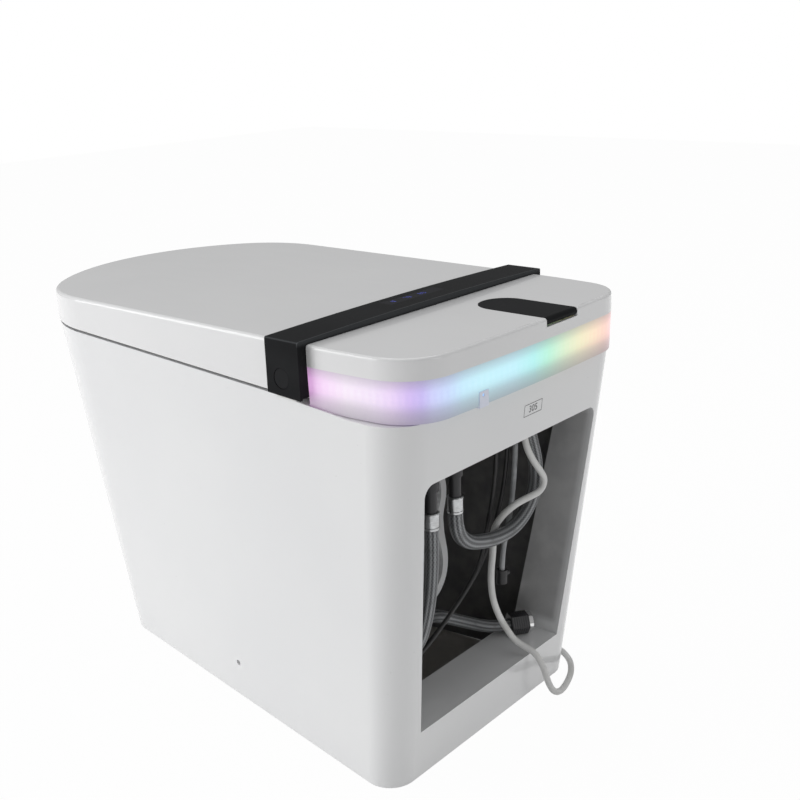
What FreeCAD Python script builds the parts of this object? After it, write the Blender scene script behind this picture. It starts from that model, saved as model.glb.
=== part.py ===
"""One-piece smart toilet: ceramic pan, heated seat unit, lid, rear light band and service bay.

Millimetres, +Z up. X is across (the side button is on +X), the user faces -Y, the wall is at +Y.
The origin is on the floor under the middle of the toilet's length and width.
"""

import FreeCAD, Part
import math
import os

V = FreeCAD.Vector

# ---------------------------------------------------------------- overall size
LID_REACH = 467.0  # lid's front tip to the strap's front face
STRAP_DEPTH = 44.0  # black strap, front to back
REAR_REACH = 130.0  # strap's back face to the back of the top cover
STRAP_HALF = 198.0  # half the strap's width, the widest part
STRAP_TOP = 480.0  # top of the strap above the floor
STRAP_FRONT = 146.5  # Y of the strap's front face in this drawing; save() brings the part's middle to Y = 0
FRONT_Y = STRAP_FRONT - LID_REACH
STRAP_BACK = STRAP_FRONT + STRAP_DEPTH
REAR_Y = STRAP_BACK + REAR_REACH
MIDDLE_Y = (FRONT_Y + REAR_Y) / 2
DECK_Z = STRAP_TOP - 67.5  # flat deck that carries the seat unit

FAR = 500.0  # beyond the part, for tools that cut right through

# ---------------------------------------------------------------- ceramic pan
PAN_TOP_Z = DECK_Z + 37.5  # height at which the pan's upper plan is drawn
PAN_WALL = 11.0
PAN_BACK_LEAN_TOP = 11.0  # back of the pan inside the cover's back edge, at the top
PAN_BACK_LEAN_FOOT = 63.5  # the same at the floor
PAN_HALF_TOP = STRAP_HALF - 6.5
PAN_HALF_FOOT = PAN_HALF_TOP - 37.5  # at the strap's front face
FOOT_TAPER = 7.5  # degrees, how the foot's sides draw in towards the front
PAN_FRONT_TOP = 3.0  # pan's front tip behind the lid's front tip
PAN_FRONT_FOOT = 27.0
RIM_GAP = 3.5  # under the lid's skirt
PAN_CORNER_R = (42.0, 30.0)  # back corners at the top and at the floor
PAN_SHOULDER_R = (122.0, 40.0)
PAN_SHOULDER = (50.8, 53.0)  # degrees, end of the shoulders
LEDGE_END_Y = 240.0  # where the ledge beside the housing comes down to the deck
LEDGE_FIT = 0.6  # deck recess round the housing
DECK_THICK = 15.0

BOWL_WALL = 10.0
# bowl sections: height, middle Y, half length, half width
BOWL_SECTIONS = (
    (DECK_Z + 39.5, -92.0, 181.0, 131.0),
    (DECK_Z - 12.5, -92.0, 174.0, 126.0),
    (300.0, -82.0, 148.0, 106.0),
    (210.0, -66.0, 106.0, 74.0),
    (150.0, -54.0, 74.0, 52.0),
    (112.0, -50.0, 52.0, 40.0),
)

TRAP_BORE_R = 30.0
TRAP_WALL = 9.0
OUTLET_Y = 30.0  # middle of the floor outlet
OUTLET_R = 45.0  # bore of the outlet's socket
OUTLET_DEEP = 40.0
SEAL_THICK = 14.0

BAY_TOP = DECK_Z - 66.5  # top of the opening in the back
BAY_SILL = 58.0  # height of the sill
BAY_HALF_TOP = PAN_HALF_TOP - 42.5  # half width of the opening at its top
BAY_HALF_SILL = BAY_HALF_TOP - 22.0
BAY_CORNER_R = 12.0
BAY_RETURN = 11.0  # thickness of the side returns
BAY_RETURN_SILL_Y = 201.0  # front edge of the returns at the sill
BAY_RETURN_TOP_Y = 249.0  # and at the opening's top
HOSE_HOLE = (-122.0, 130.0, 232.0, 284.0)  # hole in the deck: low X, high X, low Y, high Y

FIX_HOLE_R = 3.5  # side fixing holes near the floor
FIX_HOLE_Y = -3.0
FIX_HOLE_Z = 50.0
FIX_HOLE_X = 135.0  # middle of the wall there
FIX_HOLE_TURN = 6.7  # degrees, the wall's own taper and lean, so that the hole is square to it
FIX_HOLE_LEAN = 4.8

# ---------------------------------------------------------------- lid and seat
LID_TOP = STRAP_TOP - 4.0
LID_HALF = STRAP_HALF - 8.5
LID_GAP = 3.5  # lid to strap
LID_SHOULDER_R = 125.0
LID_SHOULDER = 51.0  # degrees
LID_THICK = 5.0
LID_SKIRT = 4.0
SKIRT_Z_BACK = LID_TOP - 52.0
SKIRT_RISE = 0.047  # mm upwards for each mm towards the front
LID_EDGE_R = 4.0
HINGE_BACK = 15.5  # hinge axis in front of the strap
HINGE_DROP = 11.0  # hinge axis below the lid's top
HINGE_Y = STRAP_FRONT - HINGE_BACK
HINGE_Z = LID_TOP - HINGE_DROP
HINGE_PIN_R = 3.5
HINGE_FIT = 0.06  # radial clearance of the pins
HINGE_BOSS_R = 5.4
HINGE_SIDE_GAP = 2.0  # between lugs and arms along the pin
LUG_X = 88.0  # inner face of the inner chassis lug
LUG_W = 9.0
ARM_W = 12.0
LUG_FOOT = 9.5  # height of the lug's foot over the chassis plate
DAMPER_LONG = 28.0
DAMPER_R = 5.3

SEAT_CLEAR = 7.0  # seat's edge inside the lid's skirt
SEAT_LIFT = 7.0  # underside above the rim
SEAT_LOW = 6.0  # thickness of the lower shell
SEAT_HIGH = 10.0  # height of the upper shell
SEAT_WALL = 3.0
SEAT_EDGE_R = 6.0
SEAT_BACK_Y = HINGE_Y - 13.0
SEAT_HOLE_Y = -112.0
SEAT_HOLE_LONG = 145.0
SEAT_HOLE_HALF = 110.0
HEATER_THICK = 0.6
BUFFER_R = 9.0
BUFFER_GAP = 0.35
BUFFER_SPOTS = ((146.0, -60.0), (70.0, -264.0))  # each pair, +X and -X

# ---------------------------------------------------------------- rear housing
COVER_TOP = STRAP_TOP - 4.6
COVER_EDGE_Z = COVER_TOP - 20.9  # parting line between top cover and light band
BAND_BOTTOM = DECK_Z + 1.0
BAND_DRAFT = 1.2  # the band draws in towards its lower edge
COVER_HALF = STRAP_HALF - 11.0
COVER_BOW_R = 735.0
COVER_BOW = 6.2  # degrees
COVER_CORNER_R = 53.0
COVER_CORNER = 81.0  # degrees
COVER_WALL = 3.0
BAND_WALL = 4.0
COVER_EDGE_R = 3.0
STRAP_WALL = 3.0
STRAP_CROWN = 2.5
STRAP_LEG_Z = STRAP_TOP - 54.8  # lower edge of the strap's legs at the front
STRAP_LEG_FIT = 0.4
STRAP_BACK_OPEN = 163.0  # half width of the opening in the strap's back wall

FLAP_X = -45.4  # filler flap
FLAP_HALF = 27.9
FLAP_NOSE_Y = 222.0
FLAP_THICK = 2.6
FLAP_GAP = 0.6
FLAP_BARREL_R = 4.2
FLAP_PIN_R = 1.5
FLAP_EAR = 5.0
NECK_R = 14.0
NECK_GAP = 2.5  # tank neck below the flap

DISPLAY_HALF = 44.0
DISPLAY_Y = STRAP_FRONT + 16.5
DISPLAY_DEPTH = 16.0
DISPLAY_THICK = 1.2
DISPLAY_FRAME = 4.0
BOARD_THICK = 1.6

BUTTON_R = 10.0
BUTTON_Y = STRAP_FRONT + 20.0
BUTTON_Z = STRAP_TOP - 38.5
BUTTON_TRAVEL = 1.5
BUTTON_FIT = 0.3
BUTTON_LIP = 2.0
BUTTON_STEM = 5.0

TAB_X = 84.4  # small sensor tab on the band's back
TAB_W = 14.0
TAB_HIGH = 16.0
TAB_THICK = 4.4
TAB_PROUD = 0.8
LED_HIGH = 8.0
LED_SIZE = 3.0
LED_COUNT = 64

# ---------------------------------------------------------------- chassis and insides
PLATE_Z = DECK_Z + 9.0
PLATE_THICK = 3.0
PLATE_TOP = PLATE_Z + PLATE_THICK
PLATE_FRONT = STRAP_FRONT + 5.0
PLATE_CLEAR = 0.6  # inside the band's wall
RIB_HIGH = 7.5
RIB_WALL = 2.0
WING_HIGH = 4.0
WING_FROM = 167.0  # the plate's wings reach from here to the strap's side wall
POST_R = 4.0
STRAP_POST = (150.0, BUTTON_Y + 4.0)  # posts that hold up the strap and the top cover
COVER_POST = (112.0, 300.0)
BOLT_X = 84.0
BOLT_Y = 205.0
BOLT_R = 4.0
BOLT_HOLE_R = 5.0
BOLT_HEAD_R = 7.5
BOLT_HEAD = 5.5
PLATE_FOOT_R = 11.0
PLATE_FEET = ((BOLT_X, BOLT_Y), (150.0, 222.0), (140.0, 292.0))
NUT_HIGH = 7.0

WAND_ANGLE = 22.0  # degrees below level
WAND_TIP_Y = 88.0
WAND_TIP_Z = DECK_Z - 9.5
WAND_R = 6.5
WAND_FIT = 0.06
WAND_X = 14.0
WAND_LONG = 150.0
WAND_BORE_R = 4.0
TIP_LONG = 16.0
JET_HOLE_R = 1.2
GUIDE_HALF = 26.0
GUIDE_HIGH = 9.0  # half its height
GUIDE_START = 10.0
GUIDE_END = 118.0
NOTCH_SIDE = 3.0
MOTOR_R = 9.0
MOTOR_LONG = 16.0
MOTOR_SPOTS = (84.0, 106.0)  # along the guide

DUCT_W = 24.0
DUCT_HIGH = 7.0  # half its height
DUCT_WALL = 1.6
DUCT_GAP = 3.0
DUCT_END = 100.0
DUCT_X = -(GUIDE_HALF + DUCT_GAP + DUCT_W / 2)
ELBOW_Y = (172.0, 198.0)
ELBOW_TOP = PLATE_TOP + 24.5
VALVE_PIVOT = (-5.4, 9.0)  # dryer flap's pin: along the slope, up from the duct's middle
VALVE_BARREL_R = 1.9
VALVE_PIN_R = 1.0
VALVE_THICK = 1.6
VALVE_EAR = 2.0

FAN_X = 55.0 - COVER_HALF
FAN_Y = 206.0
FAN_R = 24.0
FAN_HIGH = 14.0
FAN_GAP = 2.0
SCROLL_WALL = 2.0
SCROLL_HIGH = FAN_HIGH + 2 * FAN_GAP + 2 * SCROLL_WALL
SHAFT_R = 2.0
FAN_BLADES = 11
FAN_MOTOR_R = 14.0
FAN_MOTOR_HIGH = 19.0
OUTLET_Y_RANGE = (175.0, 195.0)

# boxes inside the housing: low X, high X, low Y, high Y, top Z
TANK_BOX = (-92.0, -20.0, 238.0, 306.0, COVER_TOP - 11.4)
CONTROL_BOX = (30.0, 72.0, 197.0, 241.0, COVER_TOP - 17.4)
HEATER_BOX = (COVER_HALF - 87.0, COVER_HALF - 27.0, 192.0, 240.0, COVER_TOP - 19.4)
SHELL = 2.0

# ---------------------------------------------------------------- hoses, cables and cord
FERRULE_LONG = 19.0
FERRULE_R = 8.8
FERRULE_TOP = 300.0
STUB_R = 6.4
STUB_GRIP = 13.0  # how far a port reaches into its ferrule
INLET_AT = (106.0, 268.0)
JET_AT = (60.0, 262.0)
JET_END = (-60.0, 262.0)
JET_END_Z = DECK_Z - 16.5
INLET_HOSE_R = 7.2
HOSE_BORE_R = 4.5
JET_HOSE_R = 8.0
INLET_HOSE_ROUTE = [
    (106, 268, 281), (106, 268, 249), (113, 270, 212), (121, 268, 178), (121, 257, 154), (104, 240, 143),
    (80, 222, 144), (53, 210, 141), (25, 206, 130), (-5, 205, 112), (-33, 205, 95), (-57, 206, 81),
    (-77, 211, 73), (-91, 220, 72.5),
]
JET_HOSE_ROUTE = [
    (60, 262, 281), (60, 262, 261), (44, 262.3, 242), (17, 261.6, 232), (-12, 262, 226), (-42, 262.3, 227),
    (-68, 262, 239), (-85, 261.6, 262), (-85, 262, 291), (-74, 262.3, 322), (-64, 262, 350), (-60, 262, 374),
    (-60, 262, JET_END_Z),
]
SENSOR_X = BAY_HALF_SILL - 6.0  # inner face of the foot sensor
CABLE_R = 2.4
CABLE_A_ROUTE = [
    (-38, 243, PLATE_Z), (-38, 243, 378), (-40, 241, 334), (-40, 240, 291), (-34, 239, 257), (-25, 238, 227),
    (-23, 235, 202), (-17, 231, 179), (3, 229, 158), (30, 228, 141), (55, 228, 127), (79, 227, 116),
    (101, 226, 108), (SENSOR_X, 226, 108),
]
CABLE_B_ROUTE = [
    (-58, 243, PLATE_Z), (-58, 243, 378), (-61, 241, 334), (-60, 240, 291), (-52, 239, 255), (-41, 237, 224),
    (-34, 232, 199), (-25, 227, 175), (-3, 224, 153), (24, 222, 135), (49, 221, 121), (74, 219, 109),
    (99, 218, 98), (SENSOR_X, 218, 98),
]
DRAIN_R = 3.0
DRAIN_ROUTE = [
    (-72, 247, PLATE_Z), (-72, 247, 381), (-66, 249, 340), (-62, 250, 302), (-59, 250, 270), (-55, 249, 241),
    (-49, 247, 215), (-43, 246, 192), (-42, 246, 172),
]
DRAIN_VALVE_LONG = 16.0
DRAIN_VALVE_R = 6.0
SENSOR_Y = (212.0, 238.0)
SENSOR_Z = (88.0, 122.0)
NUT_R = 13.8
NUT_LONG = 22.0
WASHER_LONG = 5.0
WASHER_R = 12.0
THREAD_R = 10.0

CORD_R = 3.75
CORD_FLOOR = CORD_R + 0.15
CORD_ROUTE = [
    (-44, 272, 384), (-44, 272, 352), (-49, 273, 323), (-64, 274.5, 299), (-83, 276, 284), (-92, 276, 271),
    (-83, 276, 260), (-58, 274, 262), (-36, 270, 260), (-24, 259, 247), (-22, 248.5, 228), (-23, 248, 204),
    (-15, 250, 179), (-17, 250, 150), (-30, 249, 121), (-46, 248, 97), (-56, 252, 79), (-61, 262, 72),
    (-65, 275, 66), (-69, 284, 49), (-72, 288, 29), (-81, 290, 12), (-98, 289, CORD_FLOOR),
    (-120, 284, CORD_FLOOR), (-143, 275, CORD_FLOOR), (-164, 260, CORD_FLOOR), (-178, 238, CORD_FLOOR),
    (-183, 211, CORD_FLOOR), (-182, 182, CORD_FLOOR), (-178, 154, CORD_FLOOR),
]
COIL_MIDDLE = (-228.0, 84.0)
COIL_R = 52.0  # radius of the outer loop
COIL_STEP = 8.2  # how much a loop draws in
COIL_LOOPS = 0.75  # turns in each layer; the layers are joined by a climbing half turn
COIL_LIFT = 8.0
COIL_LEAD = 30.0  # straight run before the coil
GLAND_R = (8.0, 5.0)  # at its top and at its lower end
PLUG_LONG = 36.0
PLUG_HALF = 15.0
PLUG_NECK = 40.0
BLADE_LONG = 17.0
BLADE_W = 6.3
BLADE_THICK = 1.5


# ================================================================ small tools
def box(x0, x1, y0, y1, z0, z1):
    return Part.makeBox(x1 - x0, y1 - y0, z1 - z0, V(x0, y0, z0))


def rod(radius, start, way, long):
    return Part.makeCylinder(radius, long, V(*start), V(*way))


def slab(face, rise, z=None):
    if z is not None:
        face = face.copy()
        face.translate(V(0, 0, z))
    return face.extrude(V(0, 0, rise))


def join(first, *others):
    return first.fuse(list(others)).removeSplitter()


def cut(first, *others):
    return first.cut(list(others))


def save(name, *shapes):
    solids = [s for shape in shapes for s in shape.Solids]
    out = solids[0] if len(solids) == 1 else Part.makeCompound(solids)
    if not out.isValid():
        print("NOT VALID", name)
    out.translate(V(0, -MIDDLE_Y, 0))
    out.exportStep(os.path.join("parts", name + ".step"))
    print("%-20s %d solid(s) %9.1f cm3" % (name, len(solids), sum(s.Volume for s in solids) / 1000))


def arc(a, m, b):
    return Part.Arc(a, m, b).toShape()


def turned(centre, radius, angle, z):
    """Point on a circle; the angle is from +X towards -Y in degrees."""
    t = math.radians(angle)
    return V(centre[0] + radius * math.cos(t), centre[1] - radius * math.sin(t), z)


def mirror_x(p):
    return V(-p.x, p.y, p.z)


def side_and_nose(start, pieces, z, toward=-1):
    """Edges from a start point on +X round to the middle line, then mirrored back to -X.

    pieces: (None, length) for a straight run, (radius, degrees) for an arc; the last arc closes on X = 0.
    """
    x, y, heading = start[0], start[1], 0.0
    edges = []
    mirrored = []

    def point(px, py):
        return V(px, start[1] + toward * (py - start[1]), z)

    for size, amount in pieces:
        if size is None:
            a = point(x, y)
            x, y = x - amount * math.sin(math.radians(heading)), y + amount * math.cos(math.radians(heading))
            b = point(x, y)
            edges.append(Part.makeLine(a, b))
            mirrored.append(Part.makeLine(mirror_x(b), mirror_x(a)))
            continue
        t0, t1 = math.radians(heading), math.radians(heading + amount)
        tm = (t0 + t1) / 2
        cx, cy = x - size * math.cos(t0), y - size * math.sin(t0)
        a, m, b = (point(cx + size * math.cos(t), cy + size * math.sin(t)) for t in (t0, tm, t1))
        edges.append(arc(a, m, b))
        mirrored.append(arc(mirror_x(b), mirror_x(m), mirror_x(a)))
        x, y, heading = cx + size * math.cos(t1), cy + size * math.sin(t1), heading + amount
    t0 = math.radians(heading)
    nose_r = x / math.cos(t0)
    cy = y - nose_r * math.sin(t0)
    edges.append(arc(point(x, y), point(0, cy + nose_r), point(-x, y)))
    return edges + mirrored[::-1]


def nose_reach(half, pieces):
    """How far the outline of side_and_nose reaches from its start."""
    x, y, heading = half, 0.0, 0.0
    for size, amount in pieces:
        t0 = math.radians(heading)
        if size is None:
            x, y = x - amount * math.sin(t0), y + amount * math.cos(t0)
            continue
        heading += amount
        t1 = math.radians(heading)
        x, y = x - size * (math.cos(t0) - math.cos(t1)), y + size * (math.sin(t1) - math.sin(t0))
    return y + x / math.cos(math.radians(heading)) * (1 - math.sin(math.radians(heading)))


def back_at(x):
    """Y of the housing's back, which is bowed, at a distance from the middle line."""
    bow, turn = math.radians(COVER_BOW), math.radians(COVER_BOW + COVER_CORNER)
    end_x = COVER_HALF - COVER_BOW_R * (1 - math.cos(bow)) - COVER_CORNER_R * (math.cos(bow) - math.cos(turn))
    radius = end_x / math.cos(turn)
    return REAR_Y - radius + math.sqrt(radius ** 2 - x ** 2)


def plan_face(edges):
    return Part.Face(Part.Wire(edges))


# ================================================================ plans
def lid_face(inset, z, back_y):
    """The lid's D shape, drawn in by an inset, with a straight back edge."""
    half, shoulder = LID_HALF - inset, LID_SHOULDER_R - inset
    arcs = [(shoulder, LID_SHOULDER)]
    straight = (LID_REACH - inset) - (STRAP_FRONT - back_y) - nose_reach(half, arcs)
    edges = side_and_nose((half, back_y), [(None, straight)] + arcs, z)
    edges.append(Part.makeLine(V(-half, back_y, z), V(half, back_y, z)))
    return plan_face(edges)


def housing_face(inset, z, front_y=STRAP_BACK):
    """Plan of the rear housing behind the strap: bowed sides, round corners, slightly bowed back."""
    reach = nose_reach(COVER_HALF, [(COVER_BOW_R, COVER_BOW), (COVER_CORNER_R, COVER_CORNER)])
    straight = max(REAR_REACH - reach, 0.1)
    pieces = [(None, straight), (COVER_BOW_R - inset, COVER_BOW), (COVER_CORNER_R - inset, COVER_CORNER)]
    half = COVER_HALF - inset
    edges = side_and_nose((half, STRAP_BACK), pieces, z, toward=1)
    if front_y < STRAP_BACK:
        edges.insert(0, Part.makeLine(V(half, front_y, z), V(half, STRAP_BACK, z)))
        edges.append(Part.makeLine(V(-half, STRAP_BACK, z), V(-half, front_y, z)))
    edges.append(Part.makeLine(V(-half, front_y, z), V(half, front_y, z)))
    return plan_face(edges)


def pan_wire(half, taper, back_y, corner_r, shoulder_r, shoulder, front_reach, z):
    """Closed plan of the pan: flat back, round corners, straight sides, shoulders and a round front."""
    t, s = math.radians(taper), math.radians(shoulder)
    nose_r = (half * math.cos(t) - shoulder_r - front_reach * math.sin(t) + shoulder_r * math.cos(s - t)) / (
        math.cos(s - t) - math.sin(t)
    )
    corner_y = back_y - corner_r
    corner_x = (half * math.cos(t) - corner_r + math.sin(t) * (corner_y - STRAP_FRONT)) / math.cos(t)
    corner = (corner_x, corner_y)
    nose_y = STRAP_FRONT - front_reach + nose_r
    side = ((nose_r - shoulder_r) * math.cos(s), nose_y - (nose_r - shoulder_r) * math.sin(s))
    back = turned(corner, corner_r, -90, z)
    corner_mid = turned(corner, corner_r, (taper - 90) / 2, z)
    corner_end = turned(corner, corner_r, taper, z)
    side_end = turned(side, shoulder_r, taper, z)
    side_mid = turned(side, shoulder_r, (taper + shoulder) / 2, z)
    nose_start = turned(side, shoulder_r, shoulder, z)
    nose = V(0, nose_y - nose_r, z)
    edges = [
        Part.makeLine(mirror_x(back), back),
        arc(back, corner_mid, corner_end),
        Part.makeLine(corner_end, side_end),
        arc(side_end, side_mid, nose_start),
        arc(nose_start, nose, mirror_x(nose_start)),
        arc(mirror_x(nose_start), mirror_x(side_mid), mirror_x(side_end)),
        Part.makeLine(mirror_x(side_end), mirror_x(corner_end)),
        arc(mirror_x(corner_end), mirror_x(corner_mid), mirror_x(back)),
    ]
    return Part.Wire(edges)


def pan_loft(inset):
    """The pan's outside, drawn in by an inset, from the floor to above the rim."""
    top = pan_wire(
        PAN_HALF_TOP - inset, 0.0, REAR_Y - PAN_BACK_LEAN_TOP - inset, PAN_CORNER_R[0] - inset,
        PAN_SHOULDER_R[0] - inset, PAN_SHOULDER[0], LID_REACH - PAN_FRONT_TOP - inset, PAN_TOP_Z,
    )
    foot = pan_wire(
        PAN_HALF_FOOT - inset, FOOT_TAPER, REAR_Y - PAN_BACK_LEAN_FOOT - inset, PAN_CORNER_R[1] - inset,
        PAN_SHOULDER_R[1] - inset, PAN_SHOULDER[1], LID_REACH - PAN_FRONT_FOOT - inset, 0.0,
    )
    return Part.makeLoft([foot, top], True, True)


def rim_z(y):
    """Height of the ceramic rim under the lid and seat."""
    return SKIRT_Z_BACK - RIM_GAP + SKIRT_RISE * (STRAP_FRONT - y)


def skirt_z(y):
    return SKIRT_Z_BACK + SKIRT_RISE * (STRAP_FRONT - y)


def profile(points, half):
    """Solid with a profile in the YZ plane, as wide as 2 x half."""
    wire = Part.makePolygon([V(-half, y, z) for y, z in points + points[:1]])
    return Part.Face(wire).extrude(V(2 * half, 0, 0))


def under_rim(drop):
    """Everything that lies lower than the rim and deck by a drop."""
    points = [
        (-FAR, -FAR), (FAR, -FAR), (FAR, DECK_Z - drop), (STRAP_BACK, DECK_Z - drop),
        (STRAP_FRONT, rim_z(STRAP_FRONT) - drop), (-FAR, rim_z(-FAR) - drop),
    ]
    return profile(points, FAR)


def under_ledge():
    """Everything under the rim and the ledge that carries on from it beside the housing."""
    points = [
        (-FAR, -FAR), (FAR, -FAR), (FAR, DECK_Z), (LEDGE_END_Y, DECK_Z),
        (STRAP_FRONT, rim_z(STRAP_FRONT)), (-FAR, rim_z(-FAR)),
    ]
    return profile(points, FAR)


def ellipse_wire(z, middle_y, half_long, half_wide):
    curve = Part.Ellipse(V(0, middle_y + half_long, z), V(half_wide, middle_y, z), V(0, middle_y, z))
    return Part.Wire([curve.toShape()])


def bowl_loft(grow, drop):
    sections = [(z, y, a + grow, b + grow) for z, y, a, b in BOWL_SECTIONS]
    z, y, a, b = sections[-1]
    sections[-1] = (z - drop, y, a, b)
    return Part.makeLoft([ellipse_wire(*s) for s in sections], True, False)


# ================================================================ tubes along a route
def rounded_path(route, ratio=0.45):
    """Straight runs joined by tangent arcs, as large as the runs allow."""
    pts = [V(*p) for p in route]
    runs = [(b - a).Length for a, b in zip(pts, pts[1:])]
    edges, radii, last = [], [], pts[0]
    for i in range(1, len(pts) - 1):
        a, b = (pts[i - 1] - pts[i]).normalize(), (pts[i + 1] - pts[i]).normalize()
        half_turn = (math.pi - a.getAngle(b)) / 2
        trim = ratio * min(runs[i - 1], runs[i])
        radius = trim / math.tan(half_turn)
        start, end = pts[i] + a * trim, pts[i] + b * trim
        bisector = (a + b).normalize()
        middle = pts[i] + bisector * (radius / math.cos(half_turn) - radius)
        edges += [Part.makeLine(last, start), arc(start, middle, end)]
        radii.append(radius)
        last = end
    edges.append(Part.makeLine(last, pts[-1]))
    return Part.Wire(edges), radii


def tube(route, radius, bore=0.0, name=""):
    path, radii = rounded_path(route)
    way = (V(*route[1]) - V(*route[0])).normalize()
    solids = []
    for r in (radius, bore) if bore else (radius,):
        ring = Part.Wire([Part.makeCircle(r, V(*route[0]), way)])
        solids.append(path.makePipeShell([ring], True, False))
    out = solids[0].cut(solids[1]) if bore else solids[0]
    area = math.pi * (radius ** 2 - bore ** 2)
    print("%s: length %.0f, least radius %.1f, volume / (section x length) %.4f" % (
        name, path.Length, min(radii), out.Volume / (area * path.Length)))
    return out


def direction(route, end):
    a, b = (route[0], route[1]) if end == 0 else (route[-1], route[-2])
    return (V(*a) - V(*b)).normalize()


# ================================================================ ceramic pan
def bay_outline(grow, y):
    """The service opening in the back, in a plane across Y, widened by a growth."""
    top, sill = BAY_TOP + grow, BAY_SILL - grow
    lean = (BAY_HALF_TOP - BAY_HALF_SILL) / (BAY_TOP - BAY_SILL)
    half_top = BAY_HALF_TOP + lean * grow + grow
    half_sill = BAY_HALF_SILL - lean * grow + grow
    r = BAY_CORNER_R + grow
    corner = [V(half_sill, y, sill), V(half_top, y, top), V(-half_top, y, top), V(-half_sill, y, sill)]
    edges, last = [], corner[0]
    for i in (1, 2):
        a = (corner[i - 1] - corner[i]).normalize()
        b = (corner[i + 1] - corner[i]).normalize()
        half_turn = (math.pi - a.getAngle(b)) / 2
        trim = r * math.tan(half_turn)
        start, end = corner[i] + a * trim, corner[i] + b * trim
        middle = corner[i] + (a + b).normalize() * (r / math.cos(half_turn) - r)
        edges += [Part.makeLine(last, start), arc(start, middle, end)]
        last = end
    edges += [Part.makeLine(last, corner[3]), Part.makeLine(corner[3], corner[0])]
    return Part.Face(Part.Wire(edges))


def bay_prism(grow, y_from, y_to):
    return bay_outline(grow, y_from).extrude(V(0, y_to - y_from, 0))


def trap_route():
    """Centre line of the trapway: from the sump up over the weir, round its back bend, down to the floor."""
    return [
        (0, -70, 128), (0, 20, 186), (0, 118, 262), (0, 196, 250), (0, 188, 166), (0, 96, 138),
        (0, OUTLET_Y, 96), (0, OUTLET_Y, OUTLET_DEEP),
    ]


def wand_frame(along, up):
    """Point in the YZ plane at a distance up the wands' slope and square to it."""
    t = math.radians(WAND_ANGLE)
    return (
        WAND_TIP_Y + along * math.cos(t) - up * math.sin(t),
        WAND_TIP_Z + along * math.sin(t) + up * math.cos(t),
    )


def wand_block(x0, x1, along0, along1, up0, up1):
    corners = [wand_frame(a, u) for a, u in ((along0, up0), (along1, up0), (along1, up1), (along0, up1))]
    wire = Part.makePolygon([V(x0, y, z) for y, z in corners + corners[:1]])
    return Part.Face(wire).extrude(V(x1 - x0, 0, 0))


def wand_rod(x, radius, along, long):
    y, z = wand_frame(along, 0)
    t = math.radians(WAND_ANGLE)
    return rod(radius, (x, y, z), (0, math.cos(t), math.sin(t)), long)


def bay_returns():
    """The thick edge round the service opening, deeper towards the top."""
    lean = (BAY_RETURN_TOP_Y - BAY_RETURN_SILL_Y) / (BAY_TOP - BAY_SILL)
    low_y = BAY_RETURN_SILL_Y - lean * BAY_SILL
    keep = profile([(low_y, 0), (FAR, 0), (FAR, BAY_TOP), (low_y + lean * BAY_TOP, BAY_TOP)], FAR)
    return bay_prism(BAY_RETURN, BAY_RETURN_SILL_Y - 5, REAR_Y).common(keep)


def fixing_hole(side):
    """Side screw hole near the floor, square to the leaning wall."""
    turn, lean = math.radians(FIX_HOLE_TURN), math.radians(FIX_HOLE_LEAN)
    way = V(side * math.cos(turn) * math.cos(lean), -math.sin(turn) * math.cos(lean), -math.sin(lean))
    start = V(side * FIX_HOLE_X, FIX_HOLE_Y, FIX_HOLE_Z) - way * (2 * PAN_WALL)
    return Part.makeCylinder(FIX_HOLE_R, 4 * PAN_WALL, start, way)


def pan():
    outer = pan_loft(0.0).common(under_ledge())
    bowl_out = bowl_loft(BOWL_WALL, BOWL_WALL).common(under_rim(1.0))
    trap_out = tube(trap_route(), TRAP_BORE_R + TRAP_WALL, 0, "trapway")
    horn = rod(OUTLET_R + TRAP_WALL, (0, OUTLET_Y, SEAL_THICK), (0, 0, 1), OUTLET_DEEP + 30)
    notch_x0 = DUCT_X - DUCT_W / 2 - DUCT_GAP
    notch_x1 = GUIDE_HALF + NOTCH_SIDE
    notch_block = box(notch_x0 - BOWL_WALL, notch_x1 + BOWL_WALL, 60, 182, DECK_Z - 36.5, DECK_Z - 2)
    hollow = pan_loft(PAN_WALL).common(under_rim(DECK_THICK))
    hollow = hollow.cut([bowl_out, trap_out, horn, notch_block, bay_returns()])
    bowl_in = bowl_loft(0.0, 0.0)
    trap_in = tube(trap_route(), TRAP_BORE_R, 0, "trapway bore")
    outlet = rod(OUTLET_R, (0, OUTLET_Y, -1), (0, 0, 1), OUTLET_DEEP + 1)
    notch = wand_block(notch_x0, notch_x1, -30, 130, -GUIDE_HIGH - NOTCH_SIDE, 80)
    deck = slab(housing_face(-LEDGE_FIT, DECK_Z, STRAP_BACK - LEDGE_FIT), DECK_THICK)
    x0, x1, y0, y1 = HOSE_HOLE
    hose_hole = box(x0, x1, y0, y1, DECK_Z - DECK_THICK - 1, DECK_Z + 20)
    bolts = [rod(BOLT_HOLE_R, (x, BOLT_Y, DECK_Z - DECK_THICK - 1), (0, 0, 1), 90) for x in (-BOLT_X, BOLT_X)]
    opening = bay_prism(0.0, BAY_RETURN_SILL_Y - 30, REAR_Y + 10)
    voids = [hollow, bowl_in, trap_in, outlet, notch, deck, hose_hole, opening]
    body = outer.cut(voids + both(fixing_hole) + bolts)
    return max(body.Solids, key=lambda s: s.Volume)


def outlet_seal():
    y = OUTLET_Y
    ring = rod(OUTLET_R + TRAP_WALL, (0, y, 0), (0, 0, 1), SEAL_THICK)
    return cut(ring, rod(OUTLET_R, (0, y, -1), (0, 0, 1), FAR))


# ================================================================ seat and lid
def both(make):
    """A piece and its twin on the other side."""
    return [make(1), make(-1)]


def side_box(side, x0, x1, y0, y1, z0, z1):
    return box(min(side * x0, side * x1), max(side * x0, side * x1), y0, y1, z0, z1)


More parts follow.
